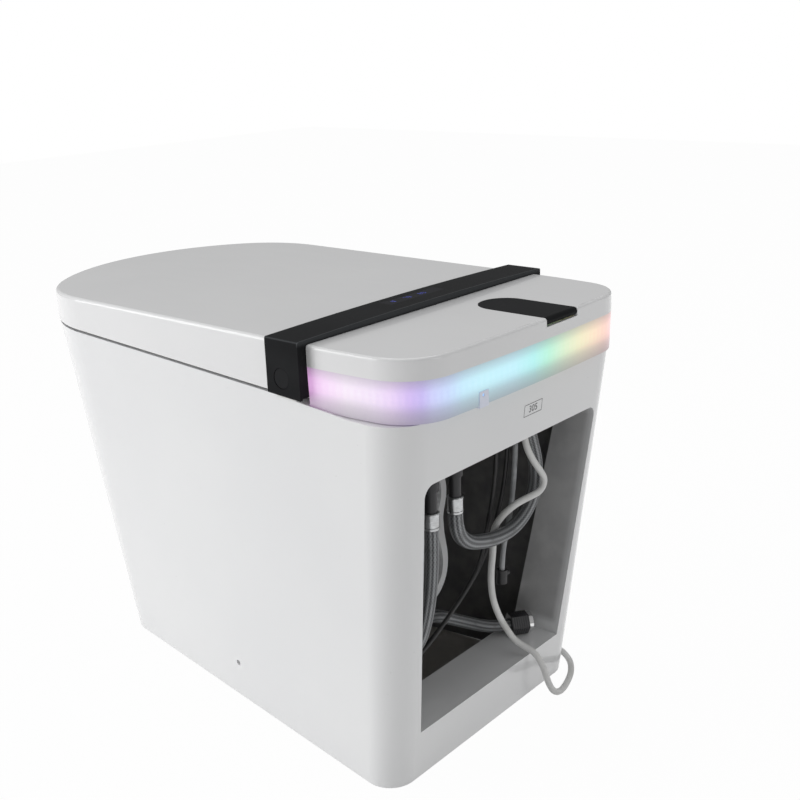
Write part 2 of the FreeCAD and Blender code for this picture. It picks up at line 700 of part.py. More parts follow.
def pin_rod(side, x0, x1, radius):
    return rod(radius, (min(side * x0, side * x1), HINGE_Y, HINGE_Z), (1, 0, 0), x1 - x0)


def tilted(shape):
    """Lays a shape drawn over a level rim onto the sloping rim."""
    out = shape.copy()
    out.rotate(V(0, STRAP_FRONT, rim_z(STRAP_FRONT)), V(1, 0, 0), -math.degrees(math.atan(SKIRT_RISE)))
    return out


def seat_plan(inset, z):
    outer = lid_face(LID_SKIRT + SEAT_CLEAR + inset, z, SEAT_BACK_Y - inset)
    hole = Part.Ellipse(
        V(0, SEAT_HOLE_Y + SEAT_HOLE_LONG + inset, z), V(SEAT_HOLE_HALF + inset, SEAT_HOLE_Y, z),
        V(0, SEAT_HOLE_Y, z),
    )
    return outer.cut(Part.Face(Part.Wire([hole.toShape()])))


SEAT_Z = rim_z(STRAP_FRONT) + SEAT_LIFT
SEAT_SPLIT_Z = SEAT_Z + SEAT_LOW
SEAT_TOP_Z = SEAT_SPLIT_Z + SEAT_HIGH
SEAT_ARM_X = LUG_X + LUG_W + HINGE_SIDE_GAP + 1.0
LID_ARM_X = SEAT_ARM_X + ARM_W + HINGE_SIDE_GAP
OUTER_LUG_X = LID_ARM_X + ARM_W + HINGE_SIDE_GAP
PIN_END_X = OUTER_LUG_X + LUG_W


def edges_at(shape, z):
    return [e for e in shape.Edges if abs(e.BoundBox.ZMin - z) < 0.01 and abs(e.BoundBox.ZMax - z) < 0.01]


def seat_upper_shell():
    outer = slab(seat_plan(0.0, SEAT_SPLIT_Z), SEAT_HIGH)
    outer = outer.makeFillet(SEAT_EDGE_R, edges_at(outer, SEAT_TOP_Z))
    inner = slab(seat_plan(SEAT_WALL, SEAT_SPLIT_Z), SEAT_HIGH - SEAT_WALL)
    return tilted(outer.cut(inner))


def seat_heater():
    z = SEAT_TOP_Z - SEAT_WALL - HEATER_THICK
    return tilted(slab(seat_plan(SEAT_WALL + SEAT_EDGE_R, z), HEATER_THICK))


def seat_lower_shell():
    plate = tilted(slab(seat_plan(0.0, SEAT_Z), SEAT_LOW))
    back, low = SEAT_BACK_Y, rim_z(SEAT_BACK_Y) + SEAT_LIFT
    r = HINGE_BOSS_R
    outline = [
        (back - 8, low + 0.8), (back + 5, low + 0.8), (HINGE_Y + r, HINGE_Z), (HINGE_Y - r, HINGE_Z),
        (back + 1.4, low + SEAT_LOW + 10), (back + 1.4, low + SEAT_LOW - 0.8),
        (back - 8, low + SEAT_LOW - 0.8),
    ]
    for side in (1, -1):
        arm = profile(outline, ARM_W / 2)
        arm.translate(V(side * (SEAT_ARM_X + ARM_W / 2), 0, 0))
        plate = plate.fuse([arm, pin_rod(side, SEAT_ARM_X, SEAT_ARM_X + ARM_W, r)])
    fits = ((1, HINGE_PIN_R), (-1, HINGE_PIN_R + HINGE_FIT))
    bores = [pin_rod(side, SEAT_ARM_X - 1, SEAT_ARM_X + ARM_W + 1, radius) for side, radius in fits]
    return cut(plate, *bores)


def seat_buffers():
    pads = []
    for x, y in BUFFER_SPOTS:
        for side in (1, -1):
            start = (side * x, y, rim_z(STRAP_FRONT) + BUFFER_GAP)
            pads.append(tilted(rod(BUFFER_R, start, (0, 0, 1), SEAT_LIFT - BUFFER_GAP)))
    return pads


def lid_panel():
    low = skirt_z(STRAP_FRONT) - 5
    back = STRAP_FRONT - LID_GAP
    outer = slab(lid_face(0.0, low, back), LID_TOP - low)
    outer = outer.makeFillet(LID_EDGE_R, edges_at(outer, LID_TOP))
    inner = slab(lid_face(LID_SKIRT, low - 1, back + 1), LID_TOP - LID_THICK - low + 1)
    under = profile([(-FAR, low - 9), (FAR, low - 9), (FAR, skirt_z(FAR)), (-FAR, skirt_z(-FAR))], FAR)
    body = outer.cut([inner, under])
    r = HINGE_BOSS_R
    for side in (1, -1):
        block = side_box(
            side, LID_ARM_X, LID_ARM_X + ARM_W, HINGE_Y - r, HINGE_Y + r, HINGE_Z, LID_TOP - LID_THICK + 0.5
        )
        body = body.fuse([block, pin_rod(side, LID_ARM_X, LID_ARM_X + ARM_W, r)])
    fits = ((1, HINGE_PIN_R + HINGE_FIT), (-1, HINGE_PIN_R))
    bores = [pin_rod(side, LID_ARM_X - 1, LID_ARM_X + ARM_W + 1, radius) for side, radius in fits]
    return cut(body, *bores).removeSplitter()


def lid_buffers():
    pads = []
    for x, y in BUFFER_SPOTS:
        seat_top = rim_z(y - BUFFER_R) + SEAT_LIFT + SEAT_LOW + SEAT_HIGH
        low = seat_top + BUFFER_GAP
        for side in (1, -1):
            pads.append(rod(BUFFER_R, (side * x, y, low), (0, 0, 1), LID_TOP - LID_THICK - low))
    return pads


def hinge_pin(side):
    return pin_rod(side, LUG_X - DAMPER_LONG / 2, PIN_END_X, HINGE_PIN_R)


def damper(side):
    body = pin_rod(side, LUG_X - DAMPER_LONG, LUG_X, DAMPER_R)
    return body.cut(pin_rod(side, LUG_X - DAMPER_LONG / 2 - 0.5, LUG_X + 1, HINGE_PIN_R + HINGE_FIT))


# ================================================================ rear housing
def strap_z(x):
    """Top of the strap, which is a little higher in the middle."""
    radius = (STRAP_HALF ** 2 + STRAP_CROWN ** 2) / (2 * STRAP_CROWN)
    return STRAP_TOP + STRAP_CROWN - radius + math.sqrt(radius ** 2 - x ** 2)


def strap_inner_top():
    return STRAP_TOP - STRAP_WALL


def strap_cover():
    low = STRAP_LEG_Z - 5
    y0, y1, half = STRAP_FRONT, STRAP_BACK, STRAP_HALF
    corner = [V(x, y0, z) for x, z in ((-half, low), (-half, STRAP_TOP), (half, STRAP_TOP), (half, low))]
    crown = arc(corner[1], V(0, y0, strap_z(0)), corner[2])
    edges = [Part.makeLine(corner[0], corner[1]), crown, Part.makeLine(corner[2], corner[3])]
    edges.append(Part.makeLine(corner[3], corner[0]))
    outer = plan_face(edges).extrude(V(0, y1 - y0, 0))
    long_top = []
    for e in outer.Edges:
        if e.BoundBox.YLength > STRAP_DEPTH - 1 and e.BoundBox.ZMin > STRAP_TOP - 1:
            long_top.append(e)
    outer = outer.makeFillet(STRAP_WALL - 1, long_top)
    wall = STRAP_WALL
    cavity = box(-half + wall, half - wall, y0 + wall, y1 - wall, low - 1, strap_inner_top())
    drop = SKIRT_RISE * STRAP_DEPTH
    points = [(y0 - 1, low - 9), (y1 + 1, low - 9), (y1, STRAP_LEG_Z - drop), (y0, STRAP_LEG_Z)]
    under = profile(points, half + 1)
    sill = box(-half + wall, half - wall, y1 - wall - 1, y1 + 1, low - 1, PLATE_TOP + STRAP_LEG_FIT)
    back = box(-STRAP_BACK_OPEN, STRAP_BACK_OPEN, y1 - wall - 1, y1 + 1, low - 1, COVER_EDGE_Z + 12)
    guide_x0 = DUCT_X - DUCT_W / 2 - 1
    guide_top = wand_frame((STRAP_FRONT + wall - WAND_TIP_Y) / math.cos(math.radians(WAND_ANGLE)), 0)[1]
    guide = box(guide_x0, GUIDE_HALF + 1, y0 - 1, y0 + wall + 1, low - 1, guide_top + GUIDE_HIGH + 3)
    slots = []
    for side in (1, -1):
        for x in (LUG_X, OUTER_LUG_X):
            top = PLATE_TOP + LUG_FOOT + 1
            slots.append(side_box(side, x - 0.6, x + LUG_W + 0.6, y0 - 1, y0 + wall + 1, low - 1, top))
    button = rod(BUTTON_R + BUTTON_FIT, (half - wall - 1, BUTTON_Y, BUTTON_Z), (1, 0, 0), wall + 2)
    window = display_box(2 * DISPLAY_THICK)
    x, y = DISPLAY_HALF - DISPLAY_FRAME, DISPLAY_DEPTH / 2 - DISPLAY_FRAME
    light = box(-x, x, DISPLAY_Y - y, DISPLAY_Y + y, strap_inner_top() - 1, STRAP_TOP + 1)
    return outer.cut([cavity, under, sill, back, guide, button, window, light] + slots)


def display_box(high):
    half, low = DISPLAY_DEPTH / 2, strap_z(DISPLAY_HALF) - DISPLAY_THICK
    return box(-DISPLAY_HALF, DISPLAY_HALF, DISPLAY_Y - half, DISPLAY_Y + half, low, low + high)


def display_window():
    return display_box(DISPLAY_THICK)


def display_board():
    top = strap_inner_top()
    x, y, half = DISPLAY_HALF - 3, DISPLAY_Y, DISPLAY_DEPTH / 2
    board = box(-x, x, y - half - 4, y + half + 8, top - BOARD_THICK, top)
    for i in range(4):
        left = -x + 8 + i * 18
        board = board.fuse(
            box(left, left + 9, y + half - 2, y + half + 6, top - BOARD_THICK - 2, top - BOARD_THICK))
    return board


def side_button():
    outer_x = STRAP_HALF - 0.3
    inner_x = STRAP_HALF - STRAP_WALL - 0.3
    cap = rod(BUTTON_R, (inner_x - BUTTON_LIP, BUTTON_Y, BUTTON_Z), (1, 0, 0), outer_x - inner_x + BUTTON_LIP)
    cap = cap.makeFillet(0.6, [e for e in cap.Edges if e.BoundBox.XMin > outer_x - 0.01])
    lip = rod(BUTTON_R + 2, (inner_x - BUTTON_LIP, BUTTON_Y, BUTTON_Z), (1, 0, 0), BUTTON_LIP)
    stem_x = inner_x - BUTTON_LIP - BUTTON_STEM
    stem = rod(3.0, (stem_x, BUTTON_Y, BUTTON_Z), (1, 0, 0), BUTTON_STEM)
    return join(cap, lip, stem)


def button_switch():
    face = STRAP_HALF - STRAP_WALL - 0.3 - BUTTON_LIP - BUTTON_STEM - BUTTON_TRAVEL - 0.3
    base = PLATE_TOP + WING_HIGH
    body = box(face - 12, face - 2, BUTTON_Y - 6, BUTTON_Y + 6, base, BUTTON_Z + 7)
    return join(body, rod(2.0, (face - 2, BUTTON_Y, BUTTON_Z), (1, 0, 0), 2.0))


def flap_outline(grow):
    """Plan of the filler flap: a round nose in front and a straight back end."""
    half = FLAP_HALF + grow
    nose = FLAP_NOSE_Y + FLAP_HALF
    x, back = FLAP_X, REAR_Y + grow
    z = 0.0
    edges = [
        arc(V(x - half, nose, z), V(x, nose - half, z), V(x + half, nose, z)),
        Part.makeLine(V(x + half, nose, z), V(x + half, back, z)),
        Part.makeLine(V(x + half, back, z), V(x - half, back, z)),
        Part.makeLine(V(x - half, back, z), V(x - half, nose, z)),
    ]
    return plan_face(edges)


def flap_axis():
    back = back_at(FLAP_X - FLAP_HALF) - 0.1
    return back - FLAP_BARREL_R, COVER_TOP - FLAP_BARREL_R


def filler_flap():
    y, z = flap_axis()
    panel = slab(flap_outline(0.0), FLAP_THICK, COVER_TOP - FLAP_THICK)
    panel = panel.common(box(-FAR, FAR, 0, y, 0, FAR))
    barrel = rod(FLAP_BARREL_R, (FLAP_X - FLAP_HALF, y, z), (1, 0, 0), 2 * FLAP_HALF)
    bore = rod(FLAP_PIN_R + HINGE_FIT, (FLAP_X - FLAP_HALF - 1, y, z), (1, 0, 0), 2 * FLAP_HALF + 2)
    return panel.fuse(barrel).cut(bore).removeSplitter()


def flap_pin():
    y, z = flap_axis()
    reach = FLAP_HALF + FLAP_GAP + FLAP_EAR
    return rod(FLAP_PIN_R, (FLAP_X - reach, y, z), (1, 0, 0), 2 * reach)


def rear_cover():
    high = COVER_TOP - COVER_EDGE_Z
    outer = slab(housing_face(0.0, COVER_EDGE_Z), high)
    top_edges = [e for e in edges_at(outer, COVER_TOP) if e.BoundBox.YMax > STRAP_BACK + 0.1]
    outer = outer.makeFillet(COVER_EDGE_R, top_edges)
    inner = slab(housing_face(COVER_WALL, COVER_EDGE_Z - 1, STRAP_BACK - 5), high - COVER_WALL + 1)
    y, z = flap_axis()
    r = FLAP_BARREL_R + FLAP_GAP
    ears = []
    for side in (1, -1):
        x = FLAP_X + side * (FLAP_HALF + FLAP_GAP + FLAP_EAR / 2)
        ear_back = REAR_Y - COVER_WALL - 1
        ears.append(box(x - FLAP_EAR / 2, x + FLAP_EAR / 2, y - 5, ear_back, z - 5, COVER_TOP - 1))
    mouth = slab(flap_outline(FLAP_GAP), 40, COVER_TOP - 20)
    mouth = mouth.common(box(-FAR, FAR, 0, y, 0, FAR)).fuse(
        box(FLAP_X - FLAP_HALF - FLAP_GAP, FLAP_X + FLAP_HALF + FLAP_GAP,
            y - 1, REAR_Y + 5, z - r, COVER_TOP + 1))
    reach = FLAP_HALF + FLAP_GAP + FLAP_EAR
    bore = rod(FLAP_PIN_R, (FLAP_X - reach, y, z), (1, 0, 0), 2 * reach)
    return outer.cut(inner).fuse([e.common(outer) for e in ears]).cut([mouth, bore]).removeSplitter()


def band_wires(inset):
    low = housing_face(BAND_DRAFT + inset, BAND_BOTTOM).OuterWire
    high = housing_face(inset, COVER_EDGE_Z).OuterWire
    return [low, high]


def light_band():
    outer = Part.makeLoft(band_wires(0.0), True, True)
    wall = BAND_WALL + BAND_DRAFT
    inner = slab(housing_face(wall, BAND_BOTTOM - 1, STRAP_BACK - 5), COVER_EDGE_Z - BAND_BOTTOM + 2)
    return outer.cut([inner, tab_box(FLAP_GAP)])


def tab_box(grow):
    back = back_at(TAB_X) - BAND_DRAFT + TAB_PROUD
    low = BAND_BOTTOM - 2.0
    x0, x1 = TAB_X - TAB_W / 2 - grow, TAB_X + TAB_W / 2 + grow
    return box(x0, x1, back - TAB_THICK - 3 * grow, back + 9 * grow, low - 5 * grow, low + TAB_HIGH + grow)


def band_sensor_tab():
    tab = tab_box(0.0)
    lens = rod(2.0, (TAB_X + 1, tab.BoundBox.YMax - 0.6, tab.BoundBox.ZMax - 4), (0, 1, 0), 2)
    return tab.cut(lens)


def led_strip():
    inset = PLATE_CLEAR + BAND_WALL + BAND_DRAFT + 2.0
    base = PLATE_TOP + RIB_HIGH
    strip = slab(housing_face(inset, base), LED_HIGH)
    strip = strip.cut(slab(housing_face(inset + RIB_WALL, base - 1, STRAP_BACK - 5), LED_HIGH + 2))
    path = housing_face(inset, base + LED_HIGH / 2)
    path = Part.Wire([e for e in path.OuterWire.OrderedEdges if e.BoundBox.YMax > STRAP_BACK + 1])
    spots = path.discretize(Number=LED_COUNT)[1:-1]
    half = LED_SIZE / 2
    leds = [box(p.x - half, p.x + half, p.y - half, p.y + half, p.z - half, p.z + half) for p in spots]
    return strip.fuse(leds).removeSplitter()


# ================================================================ chassis
def lug(side, x):
    low = PLATE_TOP
    r = HINGE_BOSS_R
    outline = [
        (PLATE_FRONT + 9, low - 1), (PLATE_FRONT + 9, low + LUG_FOOT), (HINGE_Y + 2.4, low + LUG_FOOT),
        (HINGE_Y + 2.4, HINGE_Z), (HINGE_Y - r, HINGE_Z), (HINGE_Y - r, low), (PLATE_FRONT, low),
        (PLATE_FRONT, low - 1),
    ]
    web = profile(outline, LUG_W / 2)
    web.translate(V(side * (x + LUG_W / 2), 0, 0))
    return web.fuse(pin_rod(side, x, x + LUG_W, r))


def base_plate():
    inset = PLATE_CLEAR + BAND_WALL + BAND_DRAFT
    plate = slab(housing_face(inset, PLATE_Z, PLATE_FRONT), PLATE_THICK)
    rib = slab(housing_face(inset + 2.0, PLATE_TOP), RIB_HIGH)
    rib = rib.cut(slab(housing_face(inset + 2.0 + RIB_WALL, PLATE_TOP - 1, STRAP_BACK - 5), RIB_HIGH + 2))
    inner = STRAP_HALF - STRAP_WALL
    pieces = [rib]
    wing_top = PLATE_TOP + WING_HIGH
    for side in (1, -1):
        pieces.append(side_box(side, WING_FROM, inner, BUTTON_Y - 11, BUTTON_Y + 16, PLATE_Z, wing_top))
        pieces += [lug(side, LUG_X), lug(side, OUTER_LUG_X)]
        for (x, y), top in ((STRAP_POST, strap_inner_top()), (COVER_POST, COVER_TOP - COVER_WALL)):
            pieces.append(rod(POST_R, (side * x, y, PLATE_TOP - 1), (0, 0, 1), top - PLATE_TOP + 1))
        for x, y in PLATE_FEET:
            pieces.append(rod(PLATE_FOOT_R, (side * x, y, DECK_Z), (0, 0, 1), PLATE_Z - DECK_Z + 1))
    plate = plate.fuse(pieces)
    hole_back = ELBOW_Y[0] - 2
    hole_left = DUCT_X - DUCT_W / 2 - 1
    holes = [box(hole_left, GUIDE_HALF + 1, PLATE_FRONT - 1, hole_back, PLATE_Z - 1, PLATE_TOP + 1)]
    for side in (1, -1):
        holes.append(rod(BOLT_HOLE_R, (side * BOLT_X, BOLT_Y, DECK_Z - 1), (0, 0, 1), 30))
    for x, y in (INLET_AT, JET_AT):
        holes.append(rod(STUB_R + 0.6, (x, y, PLATE_Z - 1), (0, 0, 1), PLATE_THICK + 2))
    holes.append(rod(FAN_R * 0.5, (FAN_X, FAN_Y, PLATE_Z - 1), (0, 0, 1), PLATE_THICK + 2))
    for side in (1, -1):
        for x in (LUG_X, OUTER_LUG_X):
            holes.append(pin_rod(side, x - 1, x + LUG_W + 1, HINGE_PIN_R + HINGE_FIT))
    return plate.cut(holes)


def hexagon(radius, centre, z, high):
    pts = [V(*turned(centre, radius, 60 * i, z)) for i in range(7)]
    return Part.Face(Part.makePolygon(pts)).extrude(V(0, 0, high))


def unit_bolts():
    bolts = []
    under = DECK_Z - DECK_THICK
    for side in (1, -1):
        at = (side * BOLT_X, BOLT_Y)
        shank = rod(BOLT_R, (at[0], at[1], under - NUT_HIGH - 6), (0, 0, 1), PLATE_TOP - under + NUT_HIGH + 6)
        bolts.append(join(shank, hexagon(BOLT_HEAD_R, at, PLATE_TOP, BOLT_HEAD)))
    return bolts


def bolt_nuts():
    under = DECK_Z - DECK_THICK
    nuts = []
    for side in (1, -1):
        at = (side * BOLT_X, BOLT_Y)
        nut = hexagon(BOLT_HEAD_R, at, under - NUT_HIGH, NUT_HIGH)
        nuts.append(nut.cut(rod(BOLT_R + 0.05, (at[0], at[1], under - 30), (0, 0, 1), 60)))
    return nuts


# ================================================================ washing, drying and water
def wand(side):
    body = wand_rod(side * WAND_X, WAND_R, TIP_LONG, WAND_LONG - TIP_LONG)
    return body.cut(wand_rod(side * WAND_X, WAND_BORE_R, TIP_LONG + 6, WAND_LONG))


def wand_tip(side):
    tip = wand_rod(side * WAND_X, WAND_R, 0, TIP_LONG)
    front = [e for e in tip.Edges if e.BoundBox.YMax < WAND_TIP_Y + WAND_R and e.Closed]
    tip = tip.makeFillet(WAND_R - 1, front[:1])
    t = math.radians(WAND_ANGLE)
    for along in (7.5, 11.5):
        y, z = wand_frame(along, WAND_R - 3)
        tip = tip.cut(rod(JET_HOLE_R, (side * WAND_X, y, z), (0, -math.sin(t), math.cos(t)), 9))
    return tip


def wand_guide():
    body = wand_block(-GUIDE_HALF, GUIDE_HALF, GUIDE_START, GUIDE_END, -GUIDE_HIGH, GUIDE_HIGH)
    foot_y = ELBOW_Y[0]
    body = body.fuse(box(-GUIDE_HALF, GUIDE_HALF, foot_y, foot_y + 12, PLATE_TOP, PLATE_TOP + 5))
    bores = [wand_rod(s * WAND_X, WAND_R + WAND_FIT, GUIDE_START - 5, GUIDE_END) for s in (1, -1)]
    return cut(body, *bores)


def wand_motors():
    motors = []
    for along in MOTOR_SPOTS:
        y, z = wand_frame(along, 0)
        body = rod(MOTOR_R, (GUIDE_HALF, y, z), (1, 0, 0), MOTOR_LONG)
        plug = box(GUIDE_HALF + MOTOR_LONG - 7, GUIDE_HALF + MOTOR_LONG - 1, y - 4, y + 4, z, z + MOTOR_R + 3)
        motors.append(join(body, plug))
    return motors


def dryer_duct():
    x0, x1, w, h = DUCT_X - DUCT_W / 2, DUCT_X + DUCT_W / 2, DUCT_WALL, DUCT_HIGH
    y0, y1 = ELBOW_Y
    outer = wand_block(x0, x1, -2, DUCT_END, -h, h).fuse(box(x0, x1, y0, y1, PLATE_TOP, ELBOW_TOP))
    a, u = VALVE_PIVOT
    for left in (x0, x1 - VALVE_EAR):
        outer = outer.fuse(wand_block(left, left + VALVE_EAR, a - 2.2, 2, u - 3, u + 2.2))
    inner = wand_block(x0 + w, x1 - w, -3, DUCT_END - w, w - h, h - w)
    inner = inner.fuse(box(x0 + w, x1 - w, y0 + w, y1 - w, PLATE_TOP + w, ELBOW_TOP - w))
    oy0, oy1 = OUTLET_Y_RANGE
    inner = inner.fuse(box(x0 - 1, x0 + w + 1, oy0 + SCROLL_WALL, oy1 - SCROLL_WALL, PLATE_TOP + SCROLL_WALL,
                           PLATE_TOP + SCROLL_HIGH - SCROLL_WALL))
    y, z = wand_frame(a, u)
    return outer.cut([inner, rod(VALVE_PIN_R, (x0 - 1, y, z), (1, 0, 0), DUCT_W + 2)]).removeSplitter()


def dryer_flap_pin():
    y, z = wand_frame(*VALVE_PIVOT)
    return rod(VALVE_PIN_R, (DUCT_X - DUCT_W / 2, y, z), (1, 0, 0), DUCT_W)


def dryer_flap():
    x0, x1 = DUCT_X - DUCT_W / 2 + VALVE_EAR + 0.4, DUCT_X + DUCT_W / 2 - VALVE_EAR - 0.4
    a, u = VALVE_PIVOT
    y, z = wand_frame(a, u)
    plate = wand_block(x0, x1, a, a + VALVE_THICK, -DUCT_HIGH, u)
    barrel = rod(VALVE_BARREL_R, (x0, y, z), (1, 0, 0), x1 - x0)
    return plate.fuse(barrel).cut(rod(VALVE_PIN_R + HINGE_FIT, (x0 - 1, y, z), (1, 0, 0), x1 - x0 + 2))


def blower_housing():
    z0, w = PLATE_TOP, SCROLL_WALL
    r = FAN_R + FAN_GAP + w
    oy0, oy1 = OUTLET_Y_RANGE
    end_x = DUCT_X - DUCT_W / 2
    mouth = box(FAN_X, end_x, oy0, oy1, z0, z0 + SCROLL_HIGH)
    outer = rod(r, (FAN_X, FAN_Y, z0), (0, 0, 1), SCROLL_HIGH).fuse(mouth)
    inner = rod(r - w, (FAN_X, FAN_Y, z0 + w), (0, 0, 1), SCROLL_HIGH - 2 * w)
    inner = inner.fuse(box(FAN_X, end_x + 1, oy0 + w, oy1 - w, z0 + w, z0 + SCROLL_HIGH - w))
    inlet = rod(FAN_R * 0.5, (FAN_X, FAN_Y, z0 - 1), (0, 0, 1), w + 2)
    shaft = rod(SHAFT_R + 1, (FAN_X, FAN_Y, z0 + w), (0, 0, 1), SCROLL_HIGH)
    return outer.cut([inner, inlet, shaft]).removeSplitter()


def blower_fan():
    z0 = PLATE_TOP + SCROLL_WALL + FAN_GAP
    fan = rod(FAN_R, (FAN_X, FAN_Y, z0 + FAN_HIGH - 1.6), (0, 0, 1), 1.6)
    fan = fan.fuse(rod(6.0, (FAN_X, FAN_Y, z0 + 4), (0, 0, 1), FAN_HIGH - 4))
    fan = fan.fuse(rod(SHAFT_R, (FAN_X, FAN_Y, z0 + FAN_HIGH), (0, 0, 1), FAN_MOTOR_HIGH * 0.7))
    blades = []
    for i in range(FAN_BLADES):
        blade = box(FAN_R - 9, FAN_R - 0.5, -0.7, 0.7, z0, z0 + FAN_HIGH - 1)
        blade.rotate(V(FAN_R - 9, 0, 0), V(0, 0, 1), 35)
        blade.rotate(V(0, 0, 0), V(0, 0, 1), 360.0 * i / FAN_BLADES)
        blade.translate(V(FAN_X, FAN_Y, 0))
        blades.append(blade)
    rim = rod(FAN_R, (FAN_X, FAN_Y, z0), (0, 0, 1), FAN_HIGH)
    return fan.fuse([b.common(rim) for b in blades]).removeSplitter()


def blower_motor():
    z0 = PLATE_TOP + SCROLL_HIGH
    body = rod(FAN_MOTOR_R, (FAN_X, FAN_Y, z0), (0, 0, 1), FAN_MOTOR_HIGH)
    return body.cut(rod(SHAFT_R + HINGE_FIT, (FAN_X, FAN_Y, z0 - 1), (0, 0, 1), FAN_MOTOR_HIGH * 0.85))


def shell_box(size):
    x0, x1, y0, y1, top = size
    w = SHELL
    outer = box(x0, x1, y0, y1, PLATE_TOP, top)
    upright = [e for e in outer.Edges if e.BoundBox.ZLength > top - PLATE_TOP - 1]
    outer = outer.makeFillet(4.0, upright)
    return outer, box(x0 + w, x1 - w, y0 + w, y1 - w, PLATE_TOP + w, top - w)


def detergent_tank():
    outer, inner = shell_box(TANK_BOX)
    middle_y = FLAP_NOSE_Y + FLAP_HALF + 14
    top = COVER_TOP - FLAP_THICK - NECK_GAP
    neck = rod(NECK_R, (FLAP_X, middle_y, TANK_BOX[4] - 1), (0, 0, 1), top - TANK_BOX[4] + 1)
    mouth = rod(NECK_R - SHELL, (FLAP_X, middle_y, TANK_BOX[4] - 5), (0, 0, 1), 40)
    return outer.fuse(neck).cut([inner, mouth]).removeSplitter()


def control_box():
    outer, inner = shell_box(CONTROL_BOX)
    x0, x1, y0, y1, top = CONTROL_BOX
    corners = [(x, y) for x in (x0 + 8, x1 - 8) for y in (y0 + 8, y1 - 8)]
    posts = [rod(2.5, (x, y, PLATE_TOP + 1), (0, 0, 1), 9) for x, y in corners]
    return outer.cut(inner).fuse(posts).removeSplitter()


def control_board():
    x0, x1, y0, y1, top = CONTROL_BOX
    z = PLATE_TOP + 10
    board = box(x0 + 4, x1 - 4, y0 + 4, y1 - 4, z, z + BOARD_THICK)
    high = z + BOARD_THICK
    parts = [
        box(x0 + 8, x0 + 20, y0 + 7, y0 + 19, high, high + 3),
        box(x1 - 18, x1 - 8, y0 + 8, y0 + 30, high, high + 9),
    ]
    parts += [rod(4.0, (x0 + 12 + 10 * i, y1 - 11, high), (0, 0, 1), 12) for i in range(2)]
    return board.fuse(parts)


def water_heater():
    outer, inner = shell_box(HEATER_BOX)
    x0, x1, y0, y1, top = HEATER_BOX
    stubs = [rod(4.0, (x0 + 15 + 30 * i, y1 - 2, top - 10), (0, 1, 0), 11) for i in range(2)]
    bores = [rod(2.5, (x0 + 15 + 30 * i, y1 - 4, top - 10), (0, 1, 0), 20) for i in range(2)]
    return outer.cut(inner).fuse(stubs).cut(bores)


def valve(at):
    """A valve body over the chassis plate with a port that reaches down into the hose's ferrule."""
    x, y = at
    body = box(x - 13, x + 13, y - 17, y + 15, PLATE_TOP, PLATE_TOP + 21)
    coil = rod(9.0, (x, y, PLATE_TOP + 20), (0, 0, 1), 18)
    low = FERRULE_TOP - STUB_GRIP
    stub = rod(STUB_R, (x, y, low), (0, 0, 1), PLATE_TOP - low + 1)
    collar = rod(STUB_R + 2, (x, y, FERRULE_TOP + 22), (0, 0, 1), 10)
    return join(body, coil, stub, collar).cut(rod(HOSE_BORE_R, (x, y, low - 1), (0, 0, 1), PLATE_TOP - low))


def ferrule(at):
    x, y = at
    low = FERRULE_TOP - FERRULE_LONG
    body = rod(FERRULE_R, (x, y, low), (0, 0, 1), FERRULE_LONG)
    seat = rod(STUB_R, (x, y, FERRULE_TOP - STUB_GRIP), (0, 0, 1), STUB_GRIP + 1)
    return body.cut([seat, rod(HOSE_BORE_R, (x, y, low - 1), (0, 0, 1), FERRULE_LONG)])


def jet_port():
    x, y = JET_END
    body = rod(JET_HOSE_R + 1.5, (x, y, JET_END_Z), (0, 0, 1), PLATE_Z - JET_END_Z)
    return body.cut(rod(HOSE_BORE_R, (x, y, JET_END_Z - 1), (0, 0, 1), 50))


def along_end(route, radius, start, long):
    """Rod that carries on from a route's end."""
    way = direction(route, 1)
    at = V(*route[-1]) + way * start
    return Part.makeCylinder(radius, long, at, way)


def inlet_nut():
    route = INLET_HOSE_ROUTE
    way, at = direction(route, 1), V(*route[-1])
    side = way.cross(V(0, 0, 1)).normalize()
    up = side.cross(way)
    pts = []
    for i in range(7):
        t = math.radians(60 * i)
        pts.append(at + side * (NUT_R * math.cos(t)) + up * (NUT_R * math.sin(t)))
    nut = Part.Face(Part.makePolygon(pts)).extrude(way * NUT_LONG)
    return nut.cut([along_end(route, THREAD_R, 6, 60), along_end(route, HOSE_BORE_R, -1, 60)])


def inlet_washer():
    route = INLET_HOSE_ROUTE
    ring = along_end(route, WASHER_R, NUT_LONG, WASHER_LONG)
    return ring.cut(along_end(route, THREAD_R - 1.5, NUT_LONG - 1, WASHER_LONG + 2))


def foot_sensor():
    block = box(SENSOR_X, SENSOR_X + 30, SENSOR_Y[0], SENSOR_Y[1], SENSOR_Z[0], SENSOR_Z[1])
    return block.common(bay_prism(0.0, 100, 400))


def drain_valve():
    body = along_end(DRAIN_ROUTE, DRAIN_VALVE_R, 0, DRAIN_VALVE_LONG)
    side = V(*DRAIN_ROUTE[-1]) + direction(DRAIN_ROUTE, 1) * (DRAIN_VALVE_LONG * 0.45)
    handle = Part.makeCylinder(3.0, 11, side, V(-1, 0, 0))
    return join(body, handle)


# ================================================================ power cord
def cord_gland():
    x, y, low = CORD_ROUTE[0]
    body = Part.makeCone(GLAND_R[1], GLAND_R[0], PLATE_Z - low, V(x, y, low), V(0, 0, 1))
    return body


